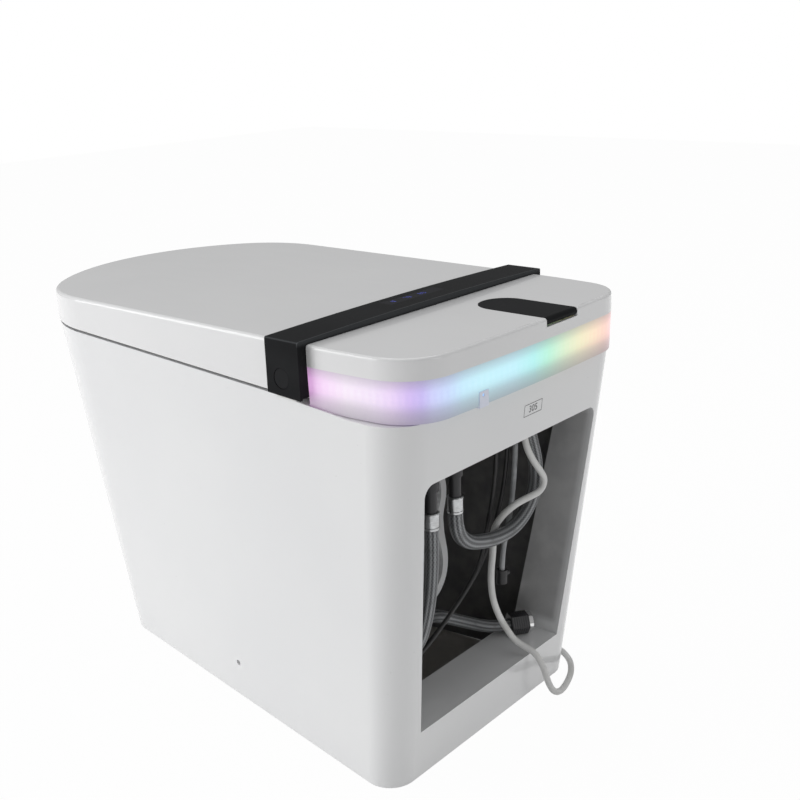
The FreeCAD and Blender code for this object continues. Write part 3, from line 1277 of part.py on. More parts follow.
def coil_point(turn):
    """Middle line of the coil: in on the floor, a climbing half turn, and out again on top."""
    climb_end = COIL_LOOPS + 0.5
    total = 2 * COIL_LOOPS + 0.5
    if turn <= COIL_LOOPS:
        radius, lift = COIL_R - COIL_STEP * turn, 0.0
    elif turn >= climb_end:
        radius, lift = COIL_R - COIL_STEP * (total - turn), COIL_LIFT
    else:
        u = (turn - COIL_LOOPS) / 0.5
        radius = COIL_R - COIL_STEP * (COIL_LOOPS + 0.5 * u * (1 - u))
        lift = COIL_LIFT * (u - math.sin(2 * math.pi * u) / (2 * math.pi))
    t = -2 * math.pi * turn
    return V(COIL_MIDDLE[0] + radius * math.cos(t), COIL_MIDDLE[1] + radius * math.sin(t), CORD_FLOOR + lift)


def coil_way(turn):
    step = 0.0005
    return (coil_point(turn + step) - coil_point(turn - step)).normalize()


def arc_from(p, control, q):
    """Circular arc from p to q whose tangents meet at the control point."""
    weight = (q - p).Length / 2 / (control - p).Length
    return arc(p, (p + control * (2 * weight) + q) * (1 / (2 + 2 * weight)), q)


def biarc(p, tp, q, tq):
    v, t = q - p, tp + tq
    k = 2 * (1 - tp.dot(tq))
    d = (-v.dot(t) + math.sqrt(v.dot(t) ** 2 + k * v.dot(v))) / k
    a, b = p + tp * d, q - tq * d
    middle = (a + b) * 0.5
    return [arc_from(p, a, middle), arc_from(middle, b, q)]


def coil_ends():
    """Where the coil's straight ends start and stop, one cord diameter beyond its turns."""
    total = 2 * COIL_LOOPS + 0.5
    start, end = coil_point(0), coil_point(total)
    return start - coil_way(0) * (2 * CORD_R), end + coil_way(total) * (2 * CORD_R)


def cord_coil():
    total = 2 * COIL_LOOPS + 0.5
    first, last = coil_ends()
    count = int(round(total * 4))
    edges = [Part.makeLine(first, coil_point(0))]
    for i in range(count):
        u0, u1 = total * i / count, total * (i + 1) / count
        edges += biarc(coil_point(u0), coil_way(u0), coil_point(u1), coil_way(u1))
    edges.append(Part.makeLine(coil_point(total), last))
    path = Part.Wire(edges)
    ring = Part.Wire([Part.makeCircle(CORD_R, first, coil_way(0))])
    out = path.makePipeShell([ring], True, False)
    area = math.pi * CORD_R ** 2
    fill = out.Volume / (area * path.Length)
    print("coil: length %.0f, volume / (section x length) %.4f" % (path.Length, fill))
    samples = [coil_point(total * i / 240) for i in range(241)]
    apart = [
        (samples[i] - samples[j]).Length - 2 * CORD_R
        for i in range(241) for j in range(i + 20, 241)
    ]
    print("coil: least gap to itself %.2f" % min(apart))
    return out


def cord_route():
    first = coil_ends()[0]
    lead = first - coil_way(0) * COIL_LEAD
    return CORD_ROUTE + [tuple(lead), tuple(first)]


def plug_frame():
    start = coil_ends()[1]
    way = coil_way(2 * COIL_LOOPS + 0.5)
    side = way.cross(V(0, 0, 1)).normalize()
    return start, way, side


def plug_body():
    start, way, side = plug_frame()
    neck = Part.makeCone(CORD_R + 0.15, CORD_R + 2.2, PLUG_NECK, start, way)
    a = start + way * PLUG_NECK
    high = start.z - 0.2
    corners = []
    for along, half in ((0.0, 0.55), (PLUG_LONG * 0.35, 1.0), (PLUG_LONG, 1.0)):
        corners.append((along, half * PLUG_HALF))
    pts = [a + way * u + side * h for u, h in corners] + [a + way * u - side * h for u, h in corners[::-1]]
    pts = [p - V(0, 0, high) for p in pts]
    block = Part.Face(Part.makePolygon(pts + pts[:1])).extrude(V(0, 0, 2 * high))
    upright = [e for e in block.Edges if e.BoundBox.ZLength > high]
    block = block.makeFillet(3.0, upright)
    return join(block, neck)


def plug_blades():
    start, way, side = plug_frame()
    a = start + way * (PLUG_NECK + PLUG_LONG)
    blades = []
    for s in (1, -1):
        corner = a + side * (s * 6.4 - BLADE_THICK / 2) + V(0, 0, -BLADE_W / 2)
        pts = [corner, corner + side * BLADE_THICK, corner + side * BLADE_THICK + V(0, 0, BLADE_W)]
        pts.append(corner + V(0, 0, BLADE_W))
        blades.append(Part.Face(Part.makePolygon(pts + pts[:1])).extrude(way * BLADE_LONG))
    return blades


def build():
    os.makedirs("parts", exist_ok=True)
    save("ceramic_pan", pan())
    save("outlet_seal", outlet_seal())
    save("base_plate", base_plate())
    save("unit_bolts", *unit_bolts())
    save("bolt_nuts", *bolt_nuts())
    save("strap_cover", strap_cover())
    save("display_window", display_window())
    save("display_board", display_board())
    save("side_button", side_button())
    save("button_switch", button_switch())
    save("rear_cover", rear_cover())
    save("filler_flap", filler_flap())
    save("filler_flap_pin", flap_pin())
    save("light_band", light_band())
    save("led_strip", led_strip())
    save("band_sensor_tab", band_sensor_tab())
    save("seat_upper_shell", seat_upper_shell())
    save("seat_lower_shell", seat_lower_shell())
    save("seat_heater", seat_heater())
    save("seat_buffers", *seat_buffers())
    save("lid_panel", lid_panel())
    save("lid_buffers", *lid_buffers())
    save("seat_hinge_pin", hinge_pin(1))
    save("lid_hinge_pin", hinge_pin(-1))
    save("seat_damper", damper(1))
    save("lid_damper", damper(-1))
    save("rear_wash_wand", wand(-1))
    save("rear_wand_tip", wand_tip(-1))
    save("front_wash_wand", wand(1))
    save("front_wand_tip", wand_tip(1))
    save("wand_guide", wand_guide())
    save("wand_motors", *wand_motors())
    save("dryer_duct", dryer_duct())
    save("dryer_flap", dryer_flap())
    save("dryer_flap_pin", dryer_flap_pin())
    save("blower_housing", blower_housing())
    save("blower_fan", blower_fan())
    save("blower_motor", blower_motor())
    save("detergent_tank", detergent_tank())
    save("control_box", control_box())
    save("control_board", control_board())
    save("water_heater", water_heater())
    save("inlet_valve", valve(INLET_AT))
    save("jet_valve", valve(JET_AT))
    save("inlet_ferrule", ferrule(INLET_AT))
    save("jet_ferrule", ferrule(JET_AT))
    save("jet_port", jet_port())
    save("jet_hose", tube(JET_HOSE_ROUTE, JET_HOSE_R, HOSE_BORE_R, "jet hose"))
    save("inlet_hose", tube(INLET_HOSE_ROUTE, INLET_HOSE_R, HOSE_BORE_R, "inlet hose"))
    save("inlet_nut", inlet_nut())
    save("inlet_washer", inlet_washer())
    save("sensor_cable_a", tube(CABLE_A_ROUTE, CABLE_R, 0, "sensor cable a"))
    save("sensor_cable_b", tube(CABLE_B_ROUTE, CABLE_R, 0, "sensor cable b"))
    save("foot_sensor", foot_sensor())
    save("drain_tube", tube(DRAIN_ROUTE, DRAIN_R, 0, "drain tube"))
    save("drain_valve", drain_valve())
    save("cord_gland", cord_gland())
    save("power_cord", tube(cord_route(), CORD_R, 0, "power cord"))
    save("cord_coil", cord_coil())
    save("plug", plug_body(), *plug_blades())


build()
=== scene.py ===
import bpy
import math
from mathutils import Matrix, Vector


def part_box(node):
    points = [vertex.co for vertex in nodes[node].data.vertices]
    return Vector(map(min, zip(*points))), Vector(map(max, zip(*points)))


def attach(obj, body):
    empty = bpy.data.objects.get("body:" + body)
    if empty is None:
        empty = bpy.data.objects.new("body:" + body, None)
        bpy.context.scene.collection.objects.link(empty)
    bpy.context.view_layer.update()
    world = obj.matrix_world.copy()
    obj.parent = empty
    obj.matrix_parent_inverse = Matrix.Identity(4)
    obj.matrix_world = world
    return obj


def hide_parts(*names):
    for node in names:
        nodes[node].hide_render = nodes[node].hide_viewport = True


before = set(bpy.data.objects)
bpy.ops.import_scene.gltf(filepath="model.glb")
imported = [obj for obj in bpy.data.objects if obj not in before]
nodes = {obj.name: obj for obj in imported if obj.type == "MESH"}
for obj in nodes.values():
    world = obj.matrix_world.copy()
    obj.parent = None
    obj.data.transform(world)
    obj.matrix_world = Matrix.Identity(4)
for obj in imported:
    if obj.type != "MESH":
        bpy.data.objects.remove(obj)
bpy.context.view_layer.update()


# Camera. Behind the toilet and to its left, at the height of a person's chest,
# with the slight roll that the photograph has.
turn, rise, roll = math.radians(131.22), math.radians(17.95), -0.035838
back = Vector((math.sin(turn) * math.cos(rise), -math.cos(turn) * math.cos(rise), math.sin(rise)))
right = Vector((math.cos(turn), math.sin(turn), 0.0))
up = back.cross(right)
tilted_right = math.cos(roll) * right + math.sin(roll) * up
tilted_up = -math.sin(roll) * right + math.cos(roll) * up
camera = bpy.data.objects.new("camera", bpy.data.cameras.new("camera"))
bpy.context.collection.objects.link(camera)
camera_place = (0.90213, 0.93050, 0.75112)
camera.matrix_world = Matrix.Translation(camera_place) @ Matrix(
    (tilted_right, tilted_up, back)).transposed().to_4x4()
camera.data.sensor_width = 36.0
camera.data.lens = 51.665
camera.data.clip_start = 0.01
bpy.context.scene.camera = camera
bpy.context.scene.view_settings.view_transform = "Standard"


# Photo studio. A white sweep of floor and background, one broad soft lamp beside
# the toilet, a weaker one behind it and one overhead.
class Wire:
    """The output of a node in a material, which sums can use like a number."""

    def __init__(self, finish, socket):
        self.finish, self.socket = finish, socket

    def sum(self, how, first, second):
        return self.finish.node("ShaderNodeMath", {"operation": how}, [first, second])

    def __add__(self, other):
        return self.sum("ADD", self, other)

    def __radd__(self, other):
        return self.sum("ADD", other, self)

    def __sub__(self, other):
        return self.sum("SUBTRACT", self, other)

    def __rsub__(self, other):
        return self.sum("SUBTRACT", other, self)

    def __mul__(self, other):
        return self.sum("MULTIPLY", self, other)

    def __truediv__(self, other):
        return self.sum("DIVIDE", self, other)

    def size(self):
        return self.finish.node("ShaderNodeMath", {"operation": "ABSOLUTE"}, [self])

    def wave(self):
        return self.finish.node("ShaderNodeMath", {"operation": "SINE"}, [self])

    def ease(self, low, high):
        """0 at low, 1 at high, with a smooth rise between them."""
        ends = {"Value": self, "From Min": low, "From Max": high, "To Min": 0.0, "To Max": 1.0}
        return self.finish.node("ShaderNodeMapRange", {"interpolation_type": "SMOOTHSTEP"}, ends)


class Finish:
    """A material under its own name, built from nodes."""

    def __init__(self, name):
        self.material = bpy.data.materials.new(name)
        self.material.use_nodes = True
        self.tree = self.material.node_tree
        self.skin = self.tree.nodes["Principled BSDF"]
        self.places = None

    def node(self, kind, settings=None, sockets=(), out=0):
        made = self.tree.nodes.new(kind)
        for name, value in (settings or {}).items():
            if name == "stops":
                self.set_stops(made.color_ramp, value)
            else:
                setattr(made, name, value)
        pairs = sockets.items() if isinstance(sockets, dict) else enumerate(sockets)
        for key, value in pairs:
            self.put(made.inputs[key], value)
        return Wire(self, made.outputs[out])

    def set_stops(self, ramp, stops):
        while len(ramp.elements) < len(stops):
            ramp.elements.new(0.5)
        for element, (place, colour) in zip(ramp.elements, stops):
            element.position = place
            element.color = (*colour, 1.0)

    def put(self, socket, value):
        if isinstance(value, Wire):
            self.tree.links.new(value.socket, socket)
        elif isinstance(value, tuple) and len(value) == 3 and socket.type == "RGBA":
            socket.default_value = (*value, 1.0)
        else:
            socket.default_value = value

    def most(self, first, second):
        return self.node("ShaderNodeMath", {"operation": "MAXIMUM"}, [first, second])

    def least(self, first, second):
        return self.node("ShaderNodeMath", {"operation": "MINIMUM"}, [first, second])

    def distance(self, first, second):
        """How far a point is from the middle of a circle, from its two offsets."""
        return self.node("ShaderNodeMath", {"operation": "SQRT"}, [
            first * first + second * second])

    def at(self):
        """Object X, Y and Z in millimetres."""
        if self.places is None:
            where = self.node("ShaderNodeTexCoord", out="Object")
            apart = self.node("ShaderNodeSeparateXYZ", sockets=[where])
            outs = apart.socket.node.outputs
            self.places = [Wire(self, outs[i]) * 1000.0 for i in range(3)]
        return self.places

    def noise(self, scale, detail=2.0, stretch=(1.0, 1.0, 1.0)):
        """Clouds from 0 to 1, finer as the scale grows."""
        where = self.node("ShaderNodeTexCoord", out="Object")
        where = self.node("ShaderNodeVectorMath", {"operation": "MULTIPLY"}, [where, stretch])
        sockets = {"Vector": where, "Scale": scale, "Detail": detail}
        return self.node("ShaderNodeTexNoise", sockets=sockets)

    def mix(self, factor, first, second):
        """The first colour where the factor is 0, the second where it is 1."""
        sockets = {0: factor, 6: first, 7: second}
        return self.node("ShaderNodeMix", {"data_type": "RGBA"}, sockets, out=2)

    def relief(self, height, depth, strength):
        """Normal bumped by a height from 0 to 1 that stands for a depth in metres."""
        sockets = {"Height": height, "Distance": depth, "Strength": strength}
        return self.node("ShaderNodeBump", sockets=sockets)

    def wear(self, **values):
        """Sets the skin's values, each under its socket's name, and gives the material."""
        for name, value in values.items():
            self.put(self.skin.inputs[name.replace("_", " ")], value)
        return self.material


def studio_white(name, seen, pale):
    """Diffuse surface that shows as plain white to the camera, in metal and in glass.

    The part inside the pan's foot, seen through the bay, is darker tile with painted shade
    instead.
    """
    sweep = Finish(name)
    x, y, _ = sweep.at()
    foot_half = sweep.least(128.0 + y * 0.11, 146.0)
    foot_middle_y, foot_half_length = 155.0, 95.0
    beside = (x.size() - foot_half).ease(2.0, -2.0)
    painted_shade_under_pan = beside * ((y - foot_middle_y).size() - foot_half_length).ease(2.0, -2.0)
    rays = sweep.node("ShaderNodeLightPath").socket.node.outputs
    looked_at = (Wire(sweep, rays["Is Camera Ray"]) + Wire(sweep, rays["Is Glossy Ray"])
                 + Wire(sweep, rays["Is Transmission Ray"]))
    factor = sweep.node("ShaderNodeClamp", sockets=[looked_at]) * seen * (1.0 - painted_shade_under_pan)
    glow = sweep.node("ShaderNodeEmission", sockets=[(1.0, 1.0, 1.0), 1.0])
    tile = sweep.noise(14.0, 3.0)
    # Painted shade: the tile under the pan is much darker than the rest of the floor.
    painted_shade_tile = sweep.mix(tile.ease(0.4, 0.7), (0.40, 0.385, 0.36), (0.56, 0.54, 0.51))
    dull = sweep.node("ShaderNodeBsdfDiffuse", sockets=[sweep.mix(painted_shade_under_pan, pale, painted_shade_tile)])
    both = sweep.node("ShaderNodeMixShader", sockets=[factor, dull, glow])
    end = sweep.tree.nodes["Material Output"]
    sweep.tree.links.new(both.socket, end.inputs["Surface"])
    return sweep.material


just_under_pan = -0.0005
bpy.ops.mesh.primitive_plane_add(size=12.0, location=(0.0, 0.0, just_under_pan))
floor = bpy.context.object
floor.name = "studio_floor"
floor.data.materials.append(studio_white("studio_floor", 0.975, (0.82, 0.82, 0.82)))

world = bpy.data.worlds.new("studio")
bpy.context.scene.world = world
world.use_nodes = True
sky = world.node_tree
rays = sky.nodes.new("ShaderNodeLightPath")
ambient = sky.nodes["Background"]
ambient.inputs["Color"].default_value = (1.0, 1.0, 1.0, 1.0)
ambient.inputs["Strength"].default_value = 0.37
backdrop = sky.nodes.new("ShaderNodeBackground")
backdrop.inputs["Color"].default_value = (1.0, 1.0, 1.0, 1.0)
either = sky.nodes.new("ShaderNodeMath")
either.operation = "MAXIMUM"
sky.links.new(rays.outputs["Is Camera Ray"], either.inputs[0])
sky.links.new(rays.outputs["Is Transmission Ray"], either.inputs[1])
shown = sky.nodes.new("ShaderNodeMixShader")
sky.links.new(either.outputs[0], shown.inputs[0])
sky.links.new(ambient.outputs[0], shown.inputs[1])
sky.links.new(backdrop.outputs[0], shown.inputs[2])
sky.links.new(shown.outputs[0], sky.nodes["World Output"].inputs["Surface"])


def lamp(name, place, width, watts):
    """A square soft lamp that is turned to the middle of the toilet."""
    light = bpy.data.lights.new(name, "AREA")
    light.size = width
    light.energy = watts
    made = bpy.data.objects.new(name, light)
    bpy.context.collection.objects.link(made)
    made.location = place
    aim = Vector((0.0, 0.0, 0.3)) - Vector(place)
    made.rotation_euler = aim.to_track_quat("-Z", "Y").to_euler()


lamp("side_lamp", (2.5, -1.9, 1.3), 2.4, 56.0)
lamp("rear_lamp", (-0.5, 3.0, 0.9), 1.2, 7.5)
lamp("top_lamp", (-0.4, -0.2, 3.0), 2.0, 20.0)


# Braided hoses. Rubber tubes in a sleeve of fine grey wire, from the two valves
# under the seat unit: one loops up to the bowl's jet, one runs down to the tap's nut.
def place_of(point):
    """A point of a route, which is in millimetres, in metres."""
    return tuple(v / 1000.0 for v in point)


def cord_line(name, points, radius):
    """A tube on a smooth line, given by its route and its radius in millimetres."""
    curve = bpy.data.curves.new(name, "CURVE")
    curve.dimensions = "3D"
    curve.resolution_u = 8
    curve.bevel_depth = 1.0
    curve.bevel_resolution = 6
    curve.use_fill_caps = True
    line = curve.splines.new("NURBS")
    line.points.add(len(points) - 1)
    for point, place in zip(line.points, points):
        point.co = (*place_of(place), 1.0)
        point.radius = radius / 1000.0
    line.order_u = 3
    line.use_endpoint_u = True
    piece = bpy.data.objects.new(name, curve)
    bpy.context.collection.objects.link(piece)
    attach(piece, "root")
    return piece


def braid_sleeve(name, length, radius):
    """Two sets of fine wires wound against each other along the hose."""
    braid = Finish(name)
    spread = braid.node("ShaderNodeTexCoord", out="UV")
    outs = braid.node("ShaderNodeSeparateXYZ", sockets=[spread]).socket.node.outputs
    along, round_it = Wire(braid, outs[0]), Wire(braid, outs[1])
    full_turn = 2.0 * math.pi
    turns = length / (full_turn * radius)
    wires, ridge_count = 14.0, 9.0
    one_way, other_way = along * turns + round_it, along * turns - round_it
    left = (one_way * (wires * full_turn)).wave()
    right_hand = (other_way * (wires * full_turn)).wave()
    over = (one_way * (wires * math.pi)).wave() * (other_way * (wires * math.pi)).wave()
    strands = braid.most(left + over * 0.6, right_hand - over * 0.6)
    ridges = (round_it * (ridge_count * full_turn)).wave() * 0.5 + 0.5
    height = strands.ease(-0.6, 1.5) * 0.35 + ridges * 0.65
    dirt = braid.noise(90.0, 3.0)
    colour = braid.mix(height, (0.030, 0.032, 0.035), (0.34, 0.35, 0.36))
    colour = braid.mix(dirt.ease(0.5, 0.75) * 0.5, colour, (0.10, 0.10, 0.10))
    return braid.wear(
        Base_Color=colour, Metallic=height * 0.55, Roughness=0.55 - height * 0.17,
        Normal=braid.relief(height, 0.0006, 0.9))


jet_route = [
    (60, 262, 281), (60, 262, 261), (44, 262.3, 242), (17, 261.6, 232), (-12, 262, 226),
    (-42, 262.3, 227), (-68, 262, 239), (-85, 261.6, 262), (-85, 262, 291), (-74, 262.3, 322),
    (-64, 262, 350), (-60, 262, 374), (-60, 262, 396)]
jet_hose = cord_line("jet_hose_braided", jet_route, 8.0)
jet_hose.data.materials.append(braid_sleeve("jet_hose_braid", 0.325, 0.008))
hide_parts("jet_hose")
place_of(jet_route[0])

inlet_route = [
    (106, 268, 281), (106, 268, 249), (113, 270, 212), (121, 268, 178), (121, 257, 154),
    (104, 240, 143), (80, 222, 144), (53, 210, 141), (25, 206, 130), (-5, 205, 112),
    (-33, 205, 95), (-57, 206, 81), (-77, 211, 73), (-91, 220, 72.5)]
inlet_hose = cord_line("inlet_hose_braided", inlet_route, 7.2)
inlet_hose.data.materials.append(braid_sleeve("inlet_hose_braid", 0.379, 0.0072))
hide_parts("inlet_hose")
place_of(inlet_route[0])


# Sensor cables. Two slim black leads with a soft, slightly dusty sheath, from the
# circuit board down to the foot sensor on the bay's side.
sheath = Finish("cable_sheath")
grain = sheath.noise(900.0, 2.0)
dust = sheath.noise(45.0, 4.0)
dark = 0.016
dusty = (dark * 2.6, dark * 2.5, dark * 2.4)
black_sheath = sheath.wear(
    Base_Color=sheath.mix(dust.ease(0.45, 0.8), (dark, dark, dark * 1.05), dusty),
    Roughness=0.38 + dust * 0.2, Normal=sheath.relief(grain, 0.0001, 0.5))
cable_a_route = [
    (-38, 243, 421.5), (-38, 243, 378), (-40, 241, 334), (-40, 240, 291), (-34, 239, 257),
    (-25, 238, 227), (-23, 235, 202), (-17, 231, 179), (3, 229, 158), (30, 228, 141),
    (55, 228, 127), (79, 227, 116), (101, 226, 108), (121, 226, 108)]
cable_b_route = [
    (-58, 243, 421.5), (-58, 243, 378), (-61, 241, 334), (-60, 240, 291), (-52, 239, 255),
    (-41, 237, 224), (-34, 232, 199), (-25, 227, 175), (-3, 224, 153), (24, 222, 135),
    (49, 221, 121), (74, 219, 109), (99, 218, 98), (121, 218, 98)]
for node_name, route, length in (
        ("sensor_cable_a", cable_a_route, 0.404), ("sensor_cable_b", cable_b_route, 0.422)):
    cable = cord_line(node_name + "_lead", route, 2.4)
    cable.data.materials.append(black_sheath)
    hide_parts(node_name)
    place_of(route[0])


# Drain tube. A soft grey hose with a small black drain valve at its end, to empty
# the tank when the toilet is put away for the winter.
drain_route = [
    (-72, 247, 421.5), (-72, 247, 381), (-66, 249, 340), (-62, 250, 302), (-59, 250, 270),
    (-55, 249, 241), (-49, 247, 215), (-43, 246, 192), (-42, 246, 172)]
drain = cord_line("drain_tube_soft", drain_route, 3.0)
silicone = Finish("drain_silicone")
cloud = silicone.noise(60.0, 3.0)
drain.data.materials.append(silicone.wear(
    Base_Color=silicone.mix(cloud.ease(0.35, 0.7), (0.30, 0.31, 0.32), (0.44, 0.45, 0.46)),
    Roughness=0.3 + cloud * 0.2, Normal=silicone.relief(silicone.noise(500.0), 0.0001, 0.4)))
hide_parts("drain_tube")
place_of(drain_route[0])


# Mains cord. White rubber lead that drops from its gland, folds over the jet hose,
# runs along the floor beside the pan and is wound up there with its plug.
cord_low = 3.9
coil_turns = 2.0


def coil_place(turned):
    """The coil's middle line: in on the floor, a climbing half turn, out again on top."""
    middle_x, middle_y, widest, narrowing, layer = -228.0, 84.0, 52.0, 8.2, 8.0
    climb_from, climb_turns = 0.75, 0.5
    if turned <= climb_from:
        radius, lift = widest - narrowing * turned, 0.0
    elif turned >= climb_from + climb_turns:
        radius, lift = widest - narrowing * (coil_turns - turned), layer
    else:
        u = (turned - climb_from) / climb_turns
        radius = widest - narrowing * (climb_from + climb_turns * u * (1.0 - u))
        lift = layer * (u - math.sin(2.0 * math.pi * u) / (2.0 * math.pi))
    angle = -2.0 * math.pi * turned
    return Vector((
        middle_x + radius * math.cos(angle), middle_y + radius * math.sin(angle), cord_low + lift))


tiny = 0.0005
way_in = (coil_place(tiny) - coil_place(-tiny)).normalized()
way_out = (coil_place(coil_turns + tiny) - coil_place(coil_turns - tiny)).normalized()
straight_end, straight_before = 7.5, 30.0
coil_start = coil_place(0.0) - way_in * straight_end
coil_end = coil_place(coil_turns) + way_out * straight_end
cord_route = [
    (-44, 272, 384), (-44, 272, 352), (-49, 273, 323), (-61, 274.5, 302), (-73, 276, 287),
    (-82, 276, 274), (-74, 276, 263), (-56, 274, 262), (-36, 270, 260), (-24, 259, 247),
    (-22, 248.5, 228), (-23, 248, 204), (-15, 250, 179), (-17, 250, 150), (-30, 249, 121),
    (-46, 248, 97), (-56, 252, 79), (-61, 262, 72), (-65, 275, 66), (-69, 284, 49),
    (-72, 288, 29), (-81, 290, 12), (-98, 289, cord_low), (-120, 284, cord_low),
    (-143, 275, cord_low), (-164, 260, cord_low), (-178, 238, cord_low), (-183, 211, cord_low),
    (-182, 182, cord_low), (-178, 154, cord_low),
    tuple(coil_start - way_in * straight_before), tuple(coil_start)]
coil_steps = 32
cord_route += [
    tuple(coil_place(coil_turns * step / coil_steps)) for step in range(coil_steps + 1)]
cord_route.append(tuple(coil_end))
mains = cord_line("mains_cord", cord_route, 3.75)
jacket = Finish("cord_jacket")
smudge = jacket.noise(30.0, 4.0)
mains.data.materials.append(jacket.wear(
    Base_Color=jacket.mix(smudge.ease(0.4, 0.75), (0.80, 0.80, 0.79), (0.66, 0.66, 0.64)),
    Roughness=0.42 + smudge * 0.15, Normal=jacket.relief(jacket.noise(1400.0, 2.0), 0.0001, 0.4)))
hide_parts("power_cord", "cord_coil")
place_of(cord_route[0])


def coat_node(material, *names):
    """Gives the CAD pieces of one finish their material."""
    for name in names:
        for holder in nodes[name].material_slots:
            holder.material = material


coat_node(jacket.material, "cord_gland")
moulded = Finish("plug_moulded")
_, y, _ = moulded.at()
blades = y.ease(0.4, 0.0)
smudge = moulded.noise(40.0, 4.0)
shell = moulded.mix(smudge.ease(0.4, 0.75), (0.82, 0.82, 0.81), (0.70, 0.70, 0.68))
coat_node(moulded.wear(
    Base_Color=moulded.mix(blades, shell, (0.66, 0.60, 0.46)), Metallic=blades,
    Roughness=0.42 + smudge * 0.15 - blades * 0.22,
    Normal=moulded.relief(moulded.noise(1400.0, 2.0), 0.0001, 0.4)), "plug")


# Pan. One casting of vitreous china with a glossy white glaze outside and in the
# bowl; the hollow behind the bowl is bare fired clay, rough, and painted dark grey as
# painted shade, apart from the trapway's bend; the bay's lip is thinly glazed and painted grey as
# painted shade.
glaze = Finish("pan_glaze")
x, y, z = glaze.at()
bay_low, bay_high, sill_top, deck_top = 56.5, 347.5, 75.0, 409.0
above_bay_floor = z - 58.0
depth = 257.0 + z * 0.1167 - y
opening_half = 127.0 + above_bay_floor * 0.0764
returns_end = 201.0 + above_bay_floor * 0.166
in_bay = ((x.size() - opening_half).ease(2.0, 0.5) * (z - bay_low).ease(0.0, 1.0)
          * (bay_high - z).ease(0.0, 1.0) * (y - returns_end).ease(-1.5, 1.5))
wall_half = z * 0.0833 + glaze.least(131.5 + y * 0.11, 151.0)
inside = ((x.size() - wall_half).ease(0.0, -2.0) * (returns_end - y).ease(-1.5, 1.5)
          * y.ease(35.0, 50.0) * (deck_top - z).ease(0.0, 1.5))
trap_half = 62.0
trap_side = (in_bay * (x.size() - trap_half).ease(1.0, -1.0) * (z - sill_top).ease(-1.0, 1.0)
             * depth.ease(4.0, 8.0))
lip = in_bay * depth.ease(1.0, 12.0) * (1.0 - trap_side) * (z - sill_top).ease(-8.0, 4.0)
low_x = glaze.least(x + 10.0, 0.0) / 45.0
low_z = glaze.least(z - 225.0, 0.0) / 110.0
glazed_bend = (low_x * low_x + low_z * low_z).ease(1.06, 0.94) * (x - 70.0).ease(1.0, -1.0)
bare_and_shaded_hollow = glaze.most(inside, trap_side) * (1.0 - glazed_bend)
cloud = glaze.noise(4.0, 2.0)
clay = glaze.noise(38.0, 4.0)
speck = glaze.noise(420.0, 1.0)
white = glaze.mix(cloud.ease(0.3, 0.7), (0.85, 0.855, 0.865), (0.88, 0.885, 0.89))
white = glaze.mix(speck.ease(0.79, 0.82) * 0.35, white, (0.45, 0.44, 0.42))
# Painted shade: the bay's lip is painted grey where it turns into the bay.
lip_painted_shade = glaze.mix(clay.ease(0.3, 0.7), (0.50, 0.50, 0.505), (0.58, 0.58, 0.58))
# Painted shade: the hollow's colour is bare clay's grey, made much darker for the shade in the
# bay.
bare_clay_and_shade = glaze.mix(clay.ease(0.25, 0.75), (0.10, 0.10, 0.102), (0.16, 0.156, 0.152))
colour = glaze.mix(bare_and_shaded_hollow, glaze.mix(lip, white, lip_painted_shade), bare_clay_and_shade)
ripple = glaze.noise(22.0, 1.0) * (1.0 - bare_and_shaded_hollow) * 0.35 + clay * bare_and_shaded_hollow * 2.0
coat_node(glaze.wear(
    Base_Color=colour, Roughness=0.2 + bare_and_shaded_hollow * 0.55 + lip * 0.12 + clay * 0.04,
    Coat_Weight=0.55 - bare_and_shaded_hollow * 0.55, Coat_Roughness=0.06, IOR=1.5,
    Normal=glaze.relief(ripple, 0.0004, 0.35)), "ceramic_pan")


# Outlet seal. A black rubber ring between the pan and the floor drain.
rubber = Finish("seal_rubber")
bloom = rubber.noise(120.0, 4.0)
coat_node(rubber.wear(
    Base_Color=rubber.mix(bloom.ease(0.4, 0.8), (0.022, 0.022, 0.023), (0.07, 0.07, 0.07)),
    Roughness=0.6 + bloom * 0.2,
    Normal=rubber.relief(rubber.noise(1200.0, 2.0), 0.0002, 0.6)), "outlet_seal")


# Seat unit's frame. The moulded chassis that is bolted to the deck, with the wand
# guide, the control box and the button's switch on it, all in one satin white plastic.
def moulding(name, pale, shade, rough, grain, gloss=0.0):
    """Injection-moulded plastic: a slow drift in tone, a fine grain and soft smears."""
    plastic = Finish(name)
    drift = plastic.noise(7.0, 2.0)
    smear = plastic.noise(55.0, 4.0, (1.0, 0.35, 1.0))
    spark = plastic.noise(1500.0, 2.0)
    colour = plastic.mix(drift.ease(0.3, 0.7), pale, shade)
    return plastic.wear(
        Base_Color=colour, Roughness=rough + smear * 0.08, Coat_Weight=gloss, Coat_Roughness=0.08,
        Normal=plastic.relief(spark, grain, 0.5))


coat_node(moulding("chassis_moulding", (0.78, 0.78, 0.76), (0.70, 0.70, 0.68), 0.45, 0.00012),
          "base_plate", "wand_guide", "control_box", "button_switch")


# Deck bolts and nuts. Stainless steel, turned, with the marks of the lathe.
def bare_steel(name, colour, rough, marks, stretch):
    """Steel with fine marks, drawn out along the way it was worked, and faint stains."""
    steel = Finish(name)
    lines = steel.noise(marks, 3.0, stretch)
    stain = steel.noise(40.0, 3.0)
    tone = steel.mix(lines.ease(0.3, 0.7), colour, tuple(c * 0.72 for c in colour))
    return steel.wear(
        Base_Color=steel.mix(stain.ease(0.55, 0.8) * 0.4, tone, (0.30, 0.29, 0.27)), Metallic=1.0,
        Roughness=rough + lines * 0.15, Normal=steel.relief(lines, 0.00008, 0.5))


coat_node(bare_steel("bolt_stainless", (0.60, 0.60, 0.61), 0.28, 350.0, (1.0, 1.0, 8.0)),
          "unit_bolts", "bolt_nuts")
